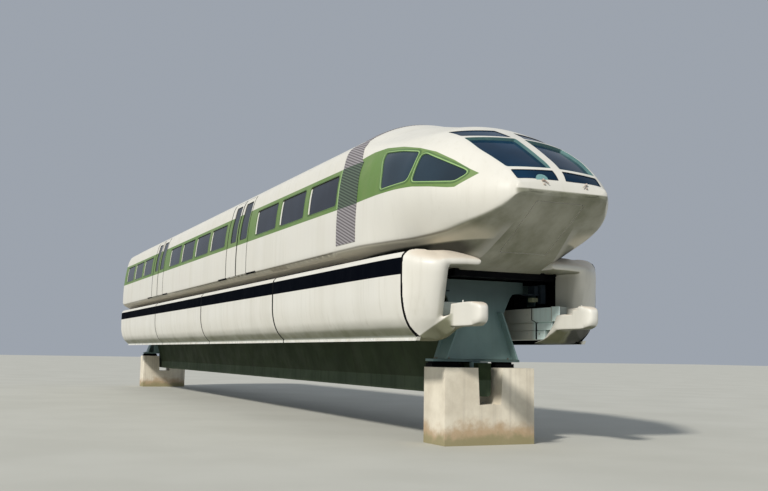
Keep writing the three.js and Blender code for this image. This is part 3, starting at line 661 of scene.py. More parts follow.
def weathered(shader, colour, streak, dirt_and_shade, cloud, down, extra_shade=None):
    """A paint colour with rain streaks, clouds, and dirt with painted shade where it faces down."""
    clouds = shader.noise(0.7, 4.0).ramp(0.3, 0.75, 0.0, cloud * 2)
    fine = shader.noise(1.0, 4.0, 0.6, stretch=(9.0, 9.0, 0.35)).ramp(0.5, 0.78)
    broad = shader.noise(1.0, 2.0, 0.5, stretch=(1.6, 1.6, 0.12)).ramp(0.42, 0.8)
    rain = (fine + broad) * streak
    colour = shader.mix(rain, shader.mix(clouds, colour, CLOUD_TAN), GRIME)
    # Dirt and painted shade: darker where the skin faces down, and in the extra shade mask
    low = shader.facing()[2].ramp(*down)
    if extra_shade:
        low = low.maths("MAXIMUM", extra_shade)
    patch = shader.noise(1.3, 5.0, 0.6, stretch=(0.6, 1.0, 1.0)).ramp(0.2, 0.75, 0.6, 1.0)
    return shader.mix(low * patch * dirt_and_shade, colour, DIRT_AND_SHADE_DARK), rain


def body_paint():
    """Cream, green stripe, belly dirt and painted shade, painted light and shadow bands, a dark crease line.
    """
    shader = Shader("body_paint")
    forward, _, up = shader.facing()
    ahead = shader.x - SEAM_X
    keel = (ahead * KEEL_LINE["slope"] + KEEL_LINE["at_seam"]).maths("MINIMUM", KEEL_LINE["most"])
    measures = {
        "ahead": ahead, "y": shader.y, "z": shader.z, "up": up,
        "crease": shader.z - line_height(shader, CREASE_LINE),
        "above": shader.z - (ahead * BOUNCE_LIGHT_EDGE["slope"] + BOUNCE_LIGHT_EDGE["at_seam"]),
        "beyond": shader.y.maths("ABSOLUTE") - keel,
    }
    over, under = shader.z - line_height(shader, STRIPE_BOTTOM), line_height(shader, STRIPE_TOP) - shader.z
    striped = over.maths("MINIMUM", under).ramp(-0.003, 0.003) * forward.ramp(-0.9, -0.6)
    # Painted shade along the nose tip's lower edge, where it rolls under
    tip = ahead.ramp(*TIP_SHADE_EDGE["ahead"]) * shader.z.ramp(*TIP_SHADE_EDGE["z"])
    paint = shader.mix(striped, BODY_CREAM, GREEN)
    colour, rain = weathered(shader, paint, streak=0.12, dirt_and_shade=0.93, cloud=0.06, down=(-0.46, -0.72),
                             extra_shade=tip)
    # Painted bounce light: a tan band under the crease, fading out towards the nose's front
    strength = ahead.ramp(1.0, 0.65, 0.0, 0.50) + ahead.ramp(0.2, -1.2, 0.0, 0.45)
    colour = shader.mix(shader.mask(BOUNCE_LIGHT_SHAPE, measures) * strength, colour, BOUNCE_LIGHT_TAN)
    colour = shader.marked(colour, BODY_MARKS, measures)
    shader.set(Base_Color=colour, Roughness=shader.noise(3.0, 4.0).ramp(0.3, 0.7, 0.40, 0.54) + rain)
    shader.set(Specular_IOR_Level=0.3, Coat_Weight=0.08, Coat_Roughness=0.3)
    shader.bump(shader.noise(0.9, 2.0), 0.25, 0.006)
    return shader.material


SKIRT_STRIPE = [("z", 2.628, 2.632), ("z", 2.892, 2.888)]
STRIPE_BLACK = (0.0012, 0.002, 0.0045)
STRIPE_DUST = (0.005, 0.007, 0.011)
# Skirt marks: ragged dirt at the foot, and a grey green band of painted reflection above the white foot strip
PANEL_MARKS = [
    ((0.15, 0.16, 0.08), [("ragged", 1.82, 1.66, 0.0, 0.75)]),
    ((0.30, 0.32, 0.29), [("z", 1.675, 1.68), ("z", 1.716, 1.710, 0.0, 0.6)]),
]
# Fairing marks: tan dirt on top, the dark chin, and painted shade on inward faces and the far cheek's foot
FAIRING_MARKS = [
    ((0.66, 0.57, 0.46), [("up", 0.45, 0.85, 0.0, 0.7)]),
    ((0.115, 0.120, 0.055), [("over_chin", 0.02, -0.02, 0.0, 0.9), ("inward", 0.8, 0.55),
                             ("ahead", 0.30, 0.15)]),
    (DIRT_AND_SHADE_DARK, [("inward", -0.05, 0.2), ("ahead", 0.32, 0.22), ("across", 1.08, 1.13, 0.0, 0.22)]),
    ((0.02, 0.022, 0.016), [("inward", -0.7, -0.45), ("y", 1.0, 1.1), ("ahead", 0.32, 0.22),
                            ("z", 2.1, 1.85, 0.0, 0.93), ("across", 1.14, 1.22)]),
]


def skirt_paint():
    """Cream with a grimy foot, a painted reflection band, dirt and painted shade below, and the dark stripe.
    """
    shader = Shader("skirt_paint")
    colour, rain = weathered(shader, CREAM, streak=0.15, dirt_and_shade=0.95, cloud=0.09, down=(-0.3, -0.72))
    ragged = shader.z - shader.noise(2.4, 4.0, 0.6, stretch=(0.5, 1.0, 1.0)) * 0.12
    measures = {"z": shader.z, "ragged": ragged}
    stripe = shader.mask(SKIRT_STRIPE, measures)
    dust = shader.noise(1.0, 3.0, 0.6, stretch=(14.0, 14.0, 0.5)).ramp(0.45, 0.8, 0.0, 0.35)
    colour = shader.marked(colour, PANEL_MARKS, measures)
    colour = shader.mix(stripe, colour, shader.mix(dust, STRIPE_BLACK, STRIPE_DUST))
    shader.set(Coat_Weight=stripe.ramp(0.0, 1.0, 0.15, 0.0))
    shader.set(Specular_IOR_Level=stripe.ramp(0.0, 1.0, 0.5, 0.02))
    return skirt_finish(shader, colour, rain, stripe * 0.4)


def fairing_paint():
    """Cream with tan dirt on top, a dark chin, dirt and painted shade below, and painted shade on the cheeks.
    """
    shader = Shader("fairing_paint")
    colour, rain = weathered(shader, FAIRING_CREAM, streak=0.15, dirt_and_shade=0.95, cloud=0.09, down=(-0.6, -0.85))
    _, sideways, up = shader.facing()
    across = shader.y.maths("ABSOLUTE")
    measures = {
        "ahead": shader.x - SEAM_X, "y": shader.y, "z": shader.z, "up": up, "across": across,
        "inward": sideways * shader.y.maths("SIGN") * -1.0,
        "over_chin": shader.z - (across * CHIN_LINE["slope"] + CHIN_LINE["middle"]),
    }
    shader.set(Coat_Weight=0.1)
    return skirt_finish(shader, shader.marked(colour, FAIRING_MARKS, measures), rain, 0.08)


def skirt_finish(shader, colour, rain, rougher):
    rough = shader.noise(3.0, 4.0).ramp(0.3, 0.7, 0.36, 0.50) + rougher + rain
    shader.set(Base_Color=colour, Roughness=rough, Coat_Roughness=0.25)
    shader.bump(shader.noise(0.9, 2.0), 0.3, 0.006)
    return shader.material


def plain_paint(name, colour, second, scale, rough, metallic=0.0, specular=0.5):
    """A paint or coating that varies between two colours."""
    shader = Shader(name)
    shader.set(Metallic=metallic, Specular_IOR_Level=specular)
    mixed = shader.mix(shader.blotches(scale), colour, second)
    return shader.coat(mixed, scale * 2.3, (rough - 0.08, rough + 0.1), scale * 14, 0.15)


def tinted_glass(name, colour, alpha, index=1.52, coat=0.6):
    shader = Shader(name)
    film = shader.noise(1.1, 3.0, 0.5, stretch=(1.0, 1.0, 0.5)).ramp(0.3, 0.75)
    shader.set(Base_Color=shader.mix(film, colour, tuple(c * 1.8 for c in colour)))
    shader.set(Roughness=shader.noise(5.0, 3.0).ramp(0.3, 0.7, 0.02, 0.06))
    shader.set(Alpha=alpha, IOR=index, Coat_Weight=coat, Coat_Roughness=0.03)
    return shader.material


def beam_steel():
    """Grey green paint, with painted shade darkening it towards the deck."""
    shader = Shader("beam_steel")
    colour = shader.mix(shader.blotches(1.2), (0.130, 0.215, 0.215), (0.170, 0.265, 0.265))
    colour = shader.mix(shader.runs(0.12), colour, (0.06, 0.08, 0.08))
    # Painted shade darkens the paint towards the deck
    colour = shader.mix(shader.z.ramp(2.0, 2.5, 0.0, 0.58), colour, (0.02, 0.028, 0.028))
    return shader.coat(colour, 2.8, (0.37, 0.55), 17.0, 0.1)


def web_steel_in_painted_shade():
    """Olive paint darkened as painted shade under the car, lighter on the bottom chord."""
    shader = Shader("web_steel_in_painted_shade")
    blotches = shader.blotches(0.9)
    web = shader.mix(blotches, (0.024, 0.038, 0.018), (0.038, 0.055, 0.028))
    chord = shader.mix(blotches, (0.055, 0.080, 0.050), (0.080, 0.110, 0.070))
    colour = shader.mix(shader.z.ramp(1.04, 1.01), web, chord)
    colour = shader.mix(shader.runs(0.4), colour, (0.018, 0.020, 0.012))
    shader.set(Specular_IOR_Level=0.08)
    return shader.coat(colour, 2.1, (0.6, 0.75), 13.0, 0.1)


def magnet_paint():
    """Pale grey green at the front, browner further back, with run marks."""
    shader = Shader("magnet_casing")
    blotches = shader.blotches(1.4)
    front = shader.mix(blotches, (0.72, 0.88, 0.86), (0.80, 0.93, 0.91))
    back = shader.mix(blotches, (0.58, 0.59, 0.53), (0.68, 0.68, 0.61))
    colour = shader.mix((shader.x - SEAM_X).ramp(-0.50, -0.66), front, back)
    colour = shader.mix(shader.runs(0.14), colour, (0.20, 0.20, 0.16))
    return shader.coat(colour, 3.2, (0.42, 0.6), 20.0, 0.15)


def concrete():
    """Cast concrete with form marks, earth splashes, moss and pores."""
    shader = Shader("concrete")
    colour = shader.mix(shader.noise(1.6, 6.0, 0.6).ramp(0.28, 0.72), (0.61, 0.55, 0.44), (0.83, 0.77, 0.64))
    forms = shader.noise(1.0, 2.0, 0.5, stretch=(1.0, 9.0, 0.15)).ramp(0.5, 0.72, 0.0, 0.4)
    splash = (shader.z + shader.noise(2.2, 5.0, 0.65) * -0.75).ramp(0.05, -0.22, 0.0, 0.75)
    moss = (shader.z + shader.noise(3.1, 5.0, 0.65) * -0.45).ramp(-0.02, -0.16, 0.0, 0.55)
    pores = shader.value("TexVoronoi", {"Vector": shader.place, "Scale": 26.0}).ramp(0.12, 0.02)
    for mask, paint in ((forms, (0.44, 0.39, 0.32)), (splash, (0.40, 0.26, 0.13)), (moss, (0.16, 0.19, 0.08)),
                        (pores * 0.5, (0.28, 0.25, 0.20))):
        colour = shader.mix(mask, colour, paint)
    grain = shader.noise(40.0, 6.0, 0.7) - pores * 0.9
    shader.set(Base_Color=colour, Roughness=grain.ramp(0.2, 0.8, 0.95, 0.8))
    shader.bump(grain, 0.5, 0.004)
    return shader.material


MESH_ROWS = 2 * math.pi / 0.056
MESH_CROSS = 2 * math.pi / 0.10
MESH_STRIPE = [("z", 3.962, 3.968), ("z", 4.713, 4.707)]


def mesh_paint():
    """Fine slanting expanded mesh, lilac grey over the paint, darker over the stripe."""
    shader = Shader("mesh_paint")
    slant = shader.z - shader.y.maths("ABSOLUTE") * 0.6 + shader.x * 0.35
    rows = (slant * MESH_ROWS).maths("SINE")
    cross = ((shader.z - shader.x * 1.7) * MESH_CROSS).maths("SINE")
    holes = (rows + cross * 0.35).ramp(-0.8, 0.8)
    over_cream = shader.mix(holes, (0.140, 0.125, 0.130), (0.375, 0.350, 0.360))
    over_green = shader.mix(holes, (0.038, 0.055, 0.038), (0.120, 0.160, 0.115))
    shader.set(Base_Color=shader.mix(shader.mask(MESH_STRIPE, {"z": shader.z}), over_cream, over_green))
    shader.set(Roughness=0.55, Metallic=0.2)
    shader.bump(holes, 0.7, 0.004)
    return shader.material


def fabric():
    shader = Shader("seat_cloth")
    weave = (shader.y * 900.0).maths("SINE") * (shader.z * 900.0).maths("SINE")
    shader.set(Base_Color=shader.mix(weave.ramp(-0.6, 0.6), (0.03, 0.045, 0.06), (0.07, 0.09, 0.11)))
    shader.set(Roughness=0.9, Sheen_Weight=0.3)
    shader.bump(weave, 0.4, 0.001)
    return shader.material


def two_toned(name, noise, low, high, rough):
    """A plain matt material between two colours."""
    shader = Shader(name)
    shader.set(Base_Color=shader.mix(shader.noise(*noise).ramp(0.3, 0.7), low, high), Roughness=rough)
    return shader.material


BODY_PAINT = body_paint()
SKIRT_PAINT = skirt_paint()
FAIRING_PAINT = fairing_paint()
TRIM_WHITE = plain_paint("trim_white", (0.83, 0.83, 0.80), (0.70, 0.68, 0.60), 3.0, 0.3)
GASKET_GREEN = plain_paint("gasket_green", (0.075, 0.145, 0.045), (0.105, 0.185, 0.06), 4.0, 0.42)
FRAME_GREEN = plain_paint("frame_green", (0.27, 0.43, 0.16), (0.32, 0.48, 0.20), 3.0, 0.4)
TEAL = plain_paint("pane_edge", (0.10, 0.21, 0.21), (0.16, 0.29, 0.28), 3.0, 0.3)
EDGE_NAVY = plain_paint("pane_edge_dark", (0.010, 0.016, 0.026), (0.018, 0.026, 0.038), 3.0, 0.5)
RUBBER = plain_paint("black_rubber", (0.016, 0.016, 0.016), (0.035, 0.033, 0.03), 6.0, 0.6)
GLASS = tinted_glass("tinted_glass", (0.011, 0.014, 0.022), 0.95, index=1.4, coat=0.0)
CAB_GLASS = tinted_glass("cab_tinted_glass", (0.010, 0.022, 0.034), 0.86)
SCREEN_GLASS = tinted_glass("screen_glass", (0.003, 0.018, 0.042), 0.96, index=1.18, coat=0.0)
STEEL = beam_steel()
# The beam web's paint is darkened as painted shade under the car
WEB_STEEL_IN_PAINTED_SHADE = web_steel_in_painted_shade()
# Black for seals, pads, stators and guides, and painted shade in the dark spaces under the car
BLACK_AND_GAP_SHADE = plain_paint("black_coating_and_gap_shade", (0.002, 0.0025, 0.0035),
(0.005, 0.005, 0.006), 2.0, 0.7, specular=0.05)
GEAR_BLUE = plain_paint("gear_blue", (0.018, 0.027, 0.036), (0.028, 0.040, 0.052), 4.0, 0.6, specular=0.1)
SAND = plain_paint("gear_sand", (0.20, 0.215, 0.13), (0.15, 0.16, 0.10), 5.0, 0.6)
DARK = plain_paint("undercarriage", (0.012, 0.013, 0.015), (0.026, 0.026, 0.027), 2.0, 0.6, specular=0.2)
MAGNET = magnet_paint()
DOOR_SEAM = plain_paint("door_seam", (0.022, 0.024, 0.024), (0.040, 0.042, 0.038), 5.0, 0.7, specular=0.1)
MAGNET_END = plain_paint("magnet_end", (0.56, 0.60, 0.55), (0.46, 0.50, 0.46), 3.0, 0.45)
WIPER = plain_paint("wiper_metal", (0.62, 0.58, 0.52), (0.26, 0.15, 0.11), 25.0, 0.45)
BOLT = plain_paint("bolt_steel", (0.17, 0.16, 0.145), (0.28, 0.22, 0.15), 20.0, 0.45, metallic=0.7)
CONCRETE = concrete()
MESH = mesh_paint()
LINING = plain_paint("inside_lining", (0.16, 0.165, 0.165), (0.21, 0.21, 0.205), 2.0, 0.75)
CLOTH = fabric()
LAMP = two_toned("headlamp", (60.0, 2.0), (0.13, 0.27, 0.27), (0.19, 0.36, 0.35), 0.3)

# Nose: one smooth skin with the panes, cab windows and hatch cut out of it

NOSE_S = np.concatenate([
    np.arange(NOSE_BACK_X, s_at(1.25), 0.06),
    np.arange(s_at(1.25), s_at(1.56), 0.03),
    np.arange(s_at(1.56), S_END, 0.005),
])
HALF_T = np.concatenate([
    np.arange(0, T_CREASE, 0.07),
    np.linspace(T_CREASE, T_LOWER, 7),
    np.arange(T_LOWER + 0.12, T_KEEL - 0.05, 0.12),
    np.linspace(T_KEEL, T_FLAT, 5),
    np.arange(T_FLAT + 0.12, T_END, 0.12),
])
ALL_T = np.unique(np.concatenate([-HALF_T, HALF_T]))
FROM_BOTTOM = np.unique(np.concatenate([T_END - HALF_T, HALF_T - T_END]))
NOSE_SKIN = 0.03


def bowed(outer, middle, power=1.8):
    """x of a bar that bows forward in the middle, at a share u of the way out."""
    return lambda u: middle + (outer - middle) * np.abs(u)**power


SCREEN_LINES = {
    "top": bowed(-0.22, -0.06, 2.2),
    "roof_bar_rear": bowed(0.15, 0.35),
    "roof_bar_front": bowed(0.235, 0.40),
    "cross_rear": bowed(1.262, 1.362, 2.0),
    "cross_front": bowed(1.322, 1.405, 2.0),
    "sill": bowed(1.488, 1.538, 2.4),
}
PANE_COLUMNS = ("rear", "front", "reach", "mullion", "corner", "depth")
PANE_ROWS = [dict(zip(PANE_COLUMNS, row)) for row in (
    ("top", "roof_bar_rear", 1.0, (0.17, 0.11), 0.03, 0.012),
    ("roof_bar_front", "cross_rear", 1.0, (0.08, 0.072), 0.035, 0.05),
    ("cross_front", "sill", 0.985, (0.078, 0.06), 0.025, 0.012),
)]
PANE_STEPS = 17


def cornered(flat, keep, radii, steps=4):
    """A loop with arcs in place of some of its corners."""
    out = []
    for i, corner in enumerate(flat):
        if i not in keep:
            out.append(corner)
            continue
        before, after = flat[i - 1] - corner, flat[(i + 1) % len(flat)] - corner
        radius = radii[keep.index(i)]
        a = corner + before / np.linalg.norm(before) * min(radius, 0.9 * np.linalg.norm(before))
        b = corner + after / np.linalg.norm(after) * min(radius, 0.9 * np.linalg.norm(after))
        out.extend((1 - k)**2 * a + 2 * k * (1 - k) * corner + k**2 * b for k in np.linspace(0, 1, steps + 1))
    return np.array(out)


def pane_outline(row, side, inset=0.0):
    """Outline of one windscreen pane as (s, t) pairs."""
    kind = PANE_ROWS[row]
    us = np.linspace(0, 1, PANE_STEPS)
    points = []
    for end, order, shift, mullion in (("rear", us, inset, kind["mullion"][0]),
                                       ("front", us[::-1], -inset, kind["mullion"][1])):
        for u in order:
            x = SCREEN_LINES[kind[end]](u * kind["reach"]) + shift
            half = np.interp(x, BODY_STATIONS[:, X], BODY_STATIONS[:, EDGE_Y])
            near, far = (mullion + inset) / half, kind["reach"] - inset / half
            points.append((x, near + (far - near) * u))
    loop = cornered(on_roof(points), [0, PANE_STEPS - 1, PANE_STEPS, 2 * PANE_STEPS - 1],
                    [kind["corner"] * share for share in (0.8, 1.6, 1.4, 0.8)])
    return divided(loop * [1, side], 0.06, 0.05)


CAB_WINDOW_GROW = 0.018
CAB_WINDOWS = [
    ([(-0.99, 4.09), (-1.01, 4.39), (-1.17, 4.715), (-0.66, 4.655), (-0.19, 4.556), (-0.165, 4.34),
      (-0.235, 4.115)],
     [0.04, 0.1, 0.02, 0.1, 0.05, 0.1, 0.07]),
    ([(-0.105, 4.09), (-0.075, 4.30), (-0.08, 4.50), (-0.02, 4.502), (0.446, 4.288), (0.765, 4.137),
      (0.83, 4.09),
      (0.745, 4.020), (0.69, 3.995), (0.324, 4.035)],
     [0.04, 0.1, 0.03, 0.03, 0.1, 0.05, 0.04, 0.05, 0.05, 0.1]),
]


def cab_window(number, side, grow=0.0):
    points, radii = CAB_WINDOWS[number]
    shape = grown(rounded(points, radii), CAB_WINDOW_GROW + grow)
    return divided(on_flank(side, divided(shape, 0.05, 0.05)), 0.06, 0.06)


HATCH = {"top": 1.5, "bottom": 0.478, "half": 0.42}


def hatch_outline(grow=0.0):
    """Hatch in the flat underside, as (s, t) pairs."""
    half = HATCH["half"] + grow
    loop = rectangle(HATCH["bottom"] - grow, HATCH["top"] + grow, -half, half, 0.03, 3)
    return to_bottom(on_bottom(divided(loop, 0.04, 0.05)))


# Parts of a cab window: how far each loop lies outside the glass, the depths, the material and its slot
CAB_WINDOW_PARTS = {
    "groove": ((0.036, 0.012), (-0.003, 0.001), GASKET_GREEN, "body_paint"),
    "frame": ((0.012, -0.002), (-0.007, 0.028), FRAME_GREEN, "body_paint"),
    "pane": ((-0.001,), (0.012, 0.022), CAB_GLASS, "tinted_glass"),
}
nose_lines, bottom_lines = (NOSE_S, ALL_T), (NOSE_S, FROM_BOTTOM)
nose_loops = [divided(rectangle(NOSE_BACK_X, S_END, -T_END, T_END), 0.05, 0.05)]
nose_loops += [to_bottom(pane_outline(row, side)) for row in range(3) for _, side in SIDES]
nose_loops += [to_bottom(cab_window(number, side)) for number in range(2) for _, side in SIDES]
nose_loops.append(hatch_outline())
skin_piece("nose_skin", nose_loops, bottom_lines, (0.0, NOSE_SKIN), BODY_PAINT, "body_paint", inner=LINING,
           from_bottom=True, replaces=["nose_shell", "windscreen_frame"])

for hand, side in SIDES:
    for row in range(3):
        tail = f"{hand}_{row + 1}"
        hole, rim, pane = (pane_outline(row, side, inset) for inset in (0.001, 0.008, 0.006))
        depth = PANE_ROWS[row]["depth"]
        skin_piece(f"pane_edge_{tail}", [hole, rim], nose_lines, (0.003, depth + 0.012),
                   TEAL if row == 1 else EDGE_NAVY, "tinted_glass")
        skin_piece(f"windscreen_pane_{tail}", [pane], nose_lines, (depth, depth + 0.008), SCREEN_GLASS,
                   "tinted_glass", replaces=["windscreen_glass"])
    for number in range(2):
        for kind, (grows, depths, material, slot) in CAB_WINDOW_PARTS.items():
            loops = [cab_window(number, side, grow) for grow in grows]
            skin_piece(f"cab_window_{kind}_{hand}_{number + 1}", loops, nose_lines, depths, material, slot,
                       replaces=[f"cab_glass_{hand}"] if kind == "pane" else [])

skin_piece("hatch_panel", [hatch_outline(-0.010)], bottom_lines, (0.001, 0.03), BODY_PAINT, "body_paint",
           from_bottom=True, body="hatch", replaces=["nose_hatch"])

# Headlamp behind the near low pane, and the stubs of the two wipers

LAMP_FORM = {"x": 1.535, "reach": 0.064, "t": -0.465, "half": 0.135}
STUB_X = np.array([1.545, 1.572, 1.590])
lamp_turn = np.linspace(0, math.pi, 13)
lamp_loop = np.stack([LAMP_FORM["x"] - LAMP_FORM["reach"] * np.sin(lamp_turn),
                      LAMP_FORM["t"] - LAMP_FORM["half"] * np.cos(lamp_turn)], axis=1)
skin_piece("headlamp", [divided(on_roof(lamp_loop), 0.03, 0.03)], nose_lines, (-0.002, 0.011), LAMP,
           "tinted_glass")
for hand, side, across in (("right", -1, 0.47), ("left", 1, 0.55)):
    stub = Parts()
    at = body_points(s_at(STUB_X), np.full(3, side * across))
    out = np.array([0.02, 0, 0.012])
    stub.rod(at[0] - out, at[0] + out * 1.4, 0.024, sides=20, end_radius=0.017)
    stub.rod(at[0] + out * 1.2, at[1] + out * 1.2 - [0, side * 0.07, 0], 0.011, end_radius=0.006)
    stub.rod(at[1] - out * 0.5, at[1] + out, 0.013)
    stub.make(f"wiper_stub_{hand}", WIPER, "undercarriage", bevel=0.002)

# Passenger body: walls, roof, doors and windows

WALL_FRONT_X = NOSE_BACK_X - 0.003
WALL_THICK = 0.06
WINDOW = {"rear": 0.79, "glass": 0.715, "front": 0.71, "bottom": 4.06, "top": 4.62, "radius": 0.07}
WINDOW_GROUPS = [[-3.57, -5.31, -7.05], [-11.15, -12.87, -14.61, -16.33], [-20.70, -22.44, -24.18]]
DOORS = [("front", -9.28), ("rear", -18.75)]
DOOR = {"half": 0.88, "bottom": 3.235, "top": 5.08, "radius": 0.06}
LEAF_GAP = 0.034
DOOR_PANES = {"front": (0.17, 0.78), "rear": (0.13, 0.64), "bottom": 4.07, "top": 4.97, "radius": 0.06}
DOOR_GUIDE = {"from": 0.02, "to": 0.74, "bottom": 3.205, "top": 3.243}
DOOR_SEAM_TOP = 5.06
WALL_TOP_T = T_EDGE
WALL_FOOT_T = T_LOWER + 0.07
LOWER_PANEL_T = (T_LOWER + 0.069, 3.66)
WALL_T = np.concatenate([np.arange(T_EDGE + 0.08, T_CREASE, 0.08), np.linspace(T_CREASE, T_LOWER, 6)])
WALL_S = np.arange(WALL_REAR_X, NOSE_BACK_X, 0.3)


def flank_loop(side, shape):
    return divided(on_flank(side, divided(shape, 0.4, 0.06)), 0.5, 0.06)


def window_shape(centre, grow=0.0, rear=WINDOW["rear"]):
    return rectangle(centre - rear - grow, centre + WINDOW["front"] + grow, WINDOW["bottom"] - grow,
                     WINDOW["top"] + grow, max(WINDOW["radius"] + grow, 0.02))


def door_shape(centre, grow=0.0):
    half = DOOR["half"] + grow
    return rectangle(centre - half, centre + half, DOOR["bottom"], DOOR["top"] + grow, DOOR["radius"])


def leaf_shape(centre, leaf):
    x0, x1 = sorted([centre + leaf * LEAF_GAP, centre + leaf * (DOOR["half"] - 0.005)])
    return rectangle(x0, x1, DOOR["bottom"] + 0.004, DOOR["top"] - 0.005, 0.03, 3)


def leaf_pane(centre, leaf, grow=0.0):
    near, far = DOOR_PANES["front" if leaf > 0 else "rear"]
    x0, x1 = sorted([centre + leaf * (near - grow), centre + leaf * (far + grow)])
    return rectangle(x0, x1, DOOR_PANES["bottom"] - grow, DOOR_PANES["top"] + grow, DOOR_PANES["radius"])


# Parts round a leaf's pane: how far each loop lies outside the pane's shape, the depths and the material
LEAF_PARTS = [("seal", (-0.001, -0.018), (0.012, 0.032), RUBBER), ("pane", (-0.014,), (0.018, 0.028), GLASS)]


def window_parts(centre):
    """Shapes and depths of one window's pane, seal, trim and jamb."""
    glass = WINDOW["glass"]
    jamb = rectangle(centre - WINDOW["rear"] + 0.002, centre - glass - 0.004, WINDOW["bottom"] + 0.03,
                     WINDOW["top"] - 0.03)
    return {
        "panes": ([window_shape(centre, -0.006, glass)], (0.020, 0.030)),
        "seals": ([window_shape(centre, 0.012, glass), window_shape(centre, -0.010, glass)], (0.017, 0.034)),
        "trims": ([window_shape(centre, 0.018), window_shape(centre, 0.002)], (-0.004, 0.001)),
        "jambs": ([jamb], (0.012, 0.030)),
    }


def windows(hand, side, group, centres):
    for kind, material, slot, replaced in (
        ("panes", GLASS, "tinted_glass", [f"window_glass_{hand}_{group}"]),
        ("seals", RUBBER, "tinted_glass", []),
        ("trims", GASKET_GREEN, "body_paint", []),
        ("jambs", TRIM_WHITE, "body_paint", []),
    ):
        gathered = Parts()
        for centre in centres:
            shapes, depths = window_parts(centre)[kind]
            gathered.skin([flank_loop(side, shape) for shape in shapes], (WALL_S, side * WALL_T), depths)
        gathered.make(f"window_{kind}_{hand}_{group}", material, slot, replaces=replaced)


def doorway(hand, side, place, centre):
    """A pair of leaves with their seals and panes, the middle seal, the guides and the seams."""
    lines = (np.arange(centre - 1, centre + 1, 0.1), side * WALL_T)
    for leaf, end in ((1, "a"), (-1, "b")):
        tail = f"{hand}_{place}_{end}"
        loops = [flank_loop(side, shape) for shape in (leaf_shape(centre, leaf), leaf_pane(centre, leaf))]
        skin_piece(f"door_leaf_{tail}", loops, lines, (0.002, 0.05), BODY_PAINT, "body_paint", inner=LINING,
                   replaces=[f"door_{hand}_{place}"])
        for kind, grows, depths, material in LEAF_PARTS:
            loops = [flank_loop(side, leaf_pane(centre, leaf, grow)) for grow in grows]
            skin_piece(f"door_{kind}_{tail}", loops, lines, depths, material, "tinted_glass")
    gap = LEAF_GAP + 0.002
    middle = flank_loop(side, rectangle(centre - gap, centre + gap, DOOR["bottom"], DOOR["top"]))
    skin_piece(f"door_middle_seal_{hand}_{place}", [middle], BARE, (0.001, 0.045), BLACK_AND_GAP_SHADE, "undercarriage")
    guides, seams = Parts(), Parts()
    for leaf in (1, -1):
        x0, x1 = sorted(centre + leaf * (DOOR["half"] + DOOR_GUIDE[end]) for end in ("from", "to"))
        guide = rectangle(x0, x1, DOOR_GUIDE["bottom"], DOOR_GUIDE["top"])
        guides.skin([flank_loop(side, guide)], BARE, (-0.003, 0.01))
    for x0 in (centre - DOOR["half"] - 0.014, centre + DOOR["half"] - 0.001):
        strip = divided(rectangle(x0, x0 + 0.015, DOOR["bottom"], DOOR_SEAM_TOP), 0.4, 0.02)
        seams.skin([on_flank(side, strip)], BARE, (-0.006, 0.006))
    guides.make(f"door_guides_{hand}_{place}", BLACK_AND_GAP_SHADE, "undercarriage")
    seams.make(f"door_seams_{hand}_{place}", DOOR_SEAM, "undercarriage")


for hand, side in SIDES:
    wall = rectangle(WALL_REAR_X, WALL_FRONT_X, side * WALL_TOP_T, side * WALL_FOOT_T)
    wall_loops = [divided(wall, 0.3, 0.05)]
    wall_loops += [flank_loop(side, window_shape(centre)) for group in WINDOW_GROUPS for centre in group]
    wall_loops += [flank_loop(side, door_shape(centre)) for _, centre in DOORS]
    skin_piece(f"wall_skin_{hand}", wall_loops, (WALL_S, side * WALL_T), (0.0, WALL_THICK), BODY_PAINT,
               "body_paint", inner=LINING, replaces=[f"side_wall_{hand}"])
    for group, centres in enumerate(WINDOW_GROUPS, 1):
        windows(hand, side, group, centres)
    for place, centre in DOORS:
        doorway(hand, side, place, centre)
    low_panel = rectangle(WALL_REAR_X, WALL_FRONT_X, side * LOWER_PANEL_T[0], side * LOWER_PANEL_T[1])
    skin_piece(f"lower_panel_{hand}", [divided(low_panel, 0.5, 0.06)], BARE, (-0.004, 0.02), BODY_PAINT,
               "body_paint")

roof_loop = divided(rectangle(WALL_REAR_X, WALL_FRONT_X, 0.002 - WALL_TOP_T, WALL_TOP_T - 0.002), 0.3, 0.05)
skin_piece("roof_skin", [roof_loop], (WALL_S, np.arange(-0.95, 0.99, 0.08)), (0.0, WALL_THICK), BODY_PAINT,
           "body_paint", inner=LINING, replaces=["roof"])

# Mesh band behind the cab: its front edge runs back on the shoulders
MESH_BAND = {"rear": -2.74, "bottom": 3.31}
MESH_FRONT = [(T_TALL - 0.05, -1.89), (1.62, -2.0), (1.4, -2.14), (1.18, -2.31), (T_EDGE, -2.54),
              (0.9, -2.6)]
band_s = s_at(MESH_BAND["rear"])
band_t = float(flank_t(np.array([band_s]), MESH_BAND["bottom"])[0])
band_front = [(-band_t, -1.89), *((-t, x) for t, x in MESH_FRONT), *MESH_FRONT[::-1], (band_t, -1.89)]
band_loop = divided([(band_s, band_t),
                     (band_s, -band_t), *((s_at(x), t) for t, x in band_front)], 0.06, 0.06)
skin_piece("mesh_wrap", [band_loop], nose_lines, (-0.008, -0.0005), MESH, "mesh", replaces=["mesh_band"])
for hand, side in SIDES:
    edge = divided(on_flank(side, divided(rectangle(-2.79, -2.745, 3.98, 4.70), 0.05, 0.05)), 0.06, 0.06)
    skin_piece(f"mesh_strip_{hand}", [edge], BARE, (-0.006, 0.0), FRAME_GREEN, "body_paint")

# Rear end: bellows round the gangway doorway, and the door's window and handle

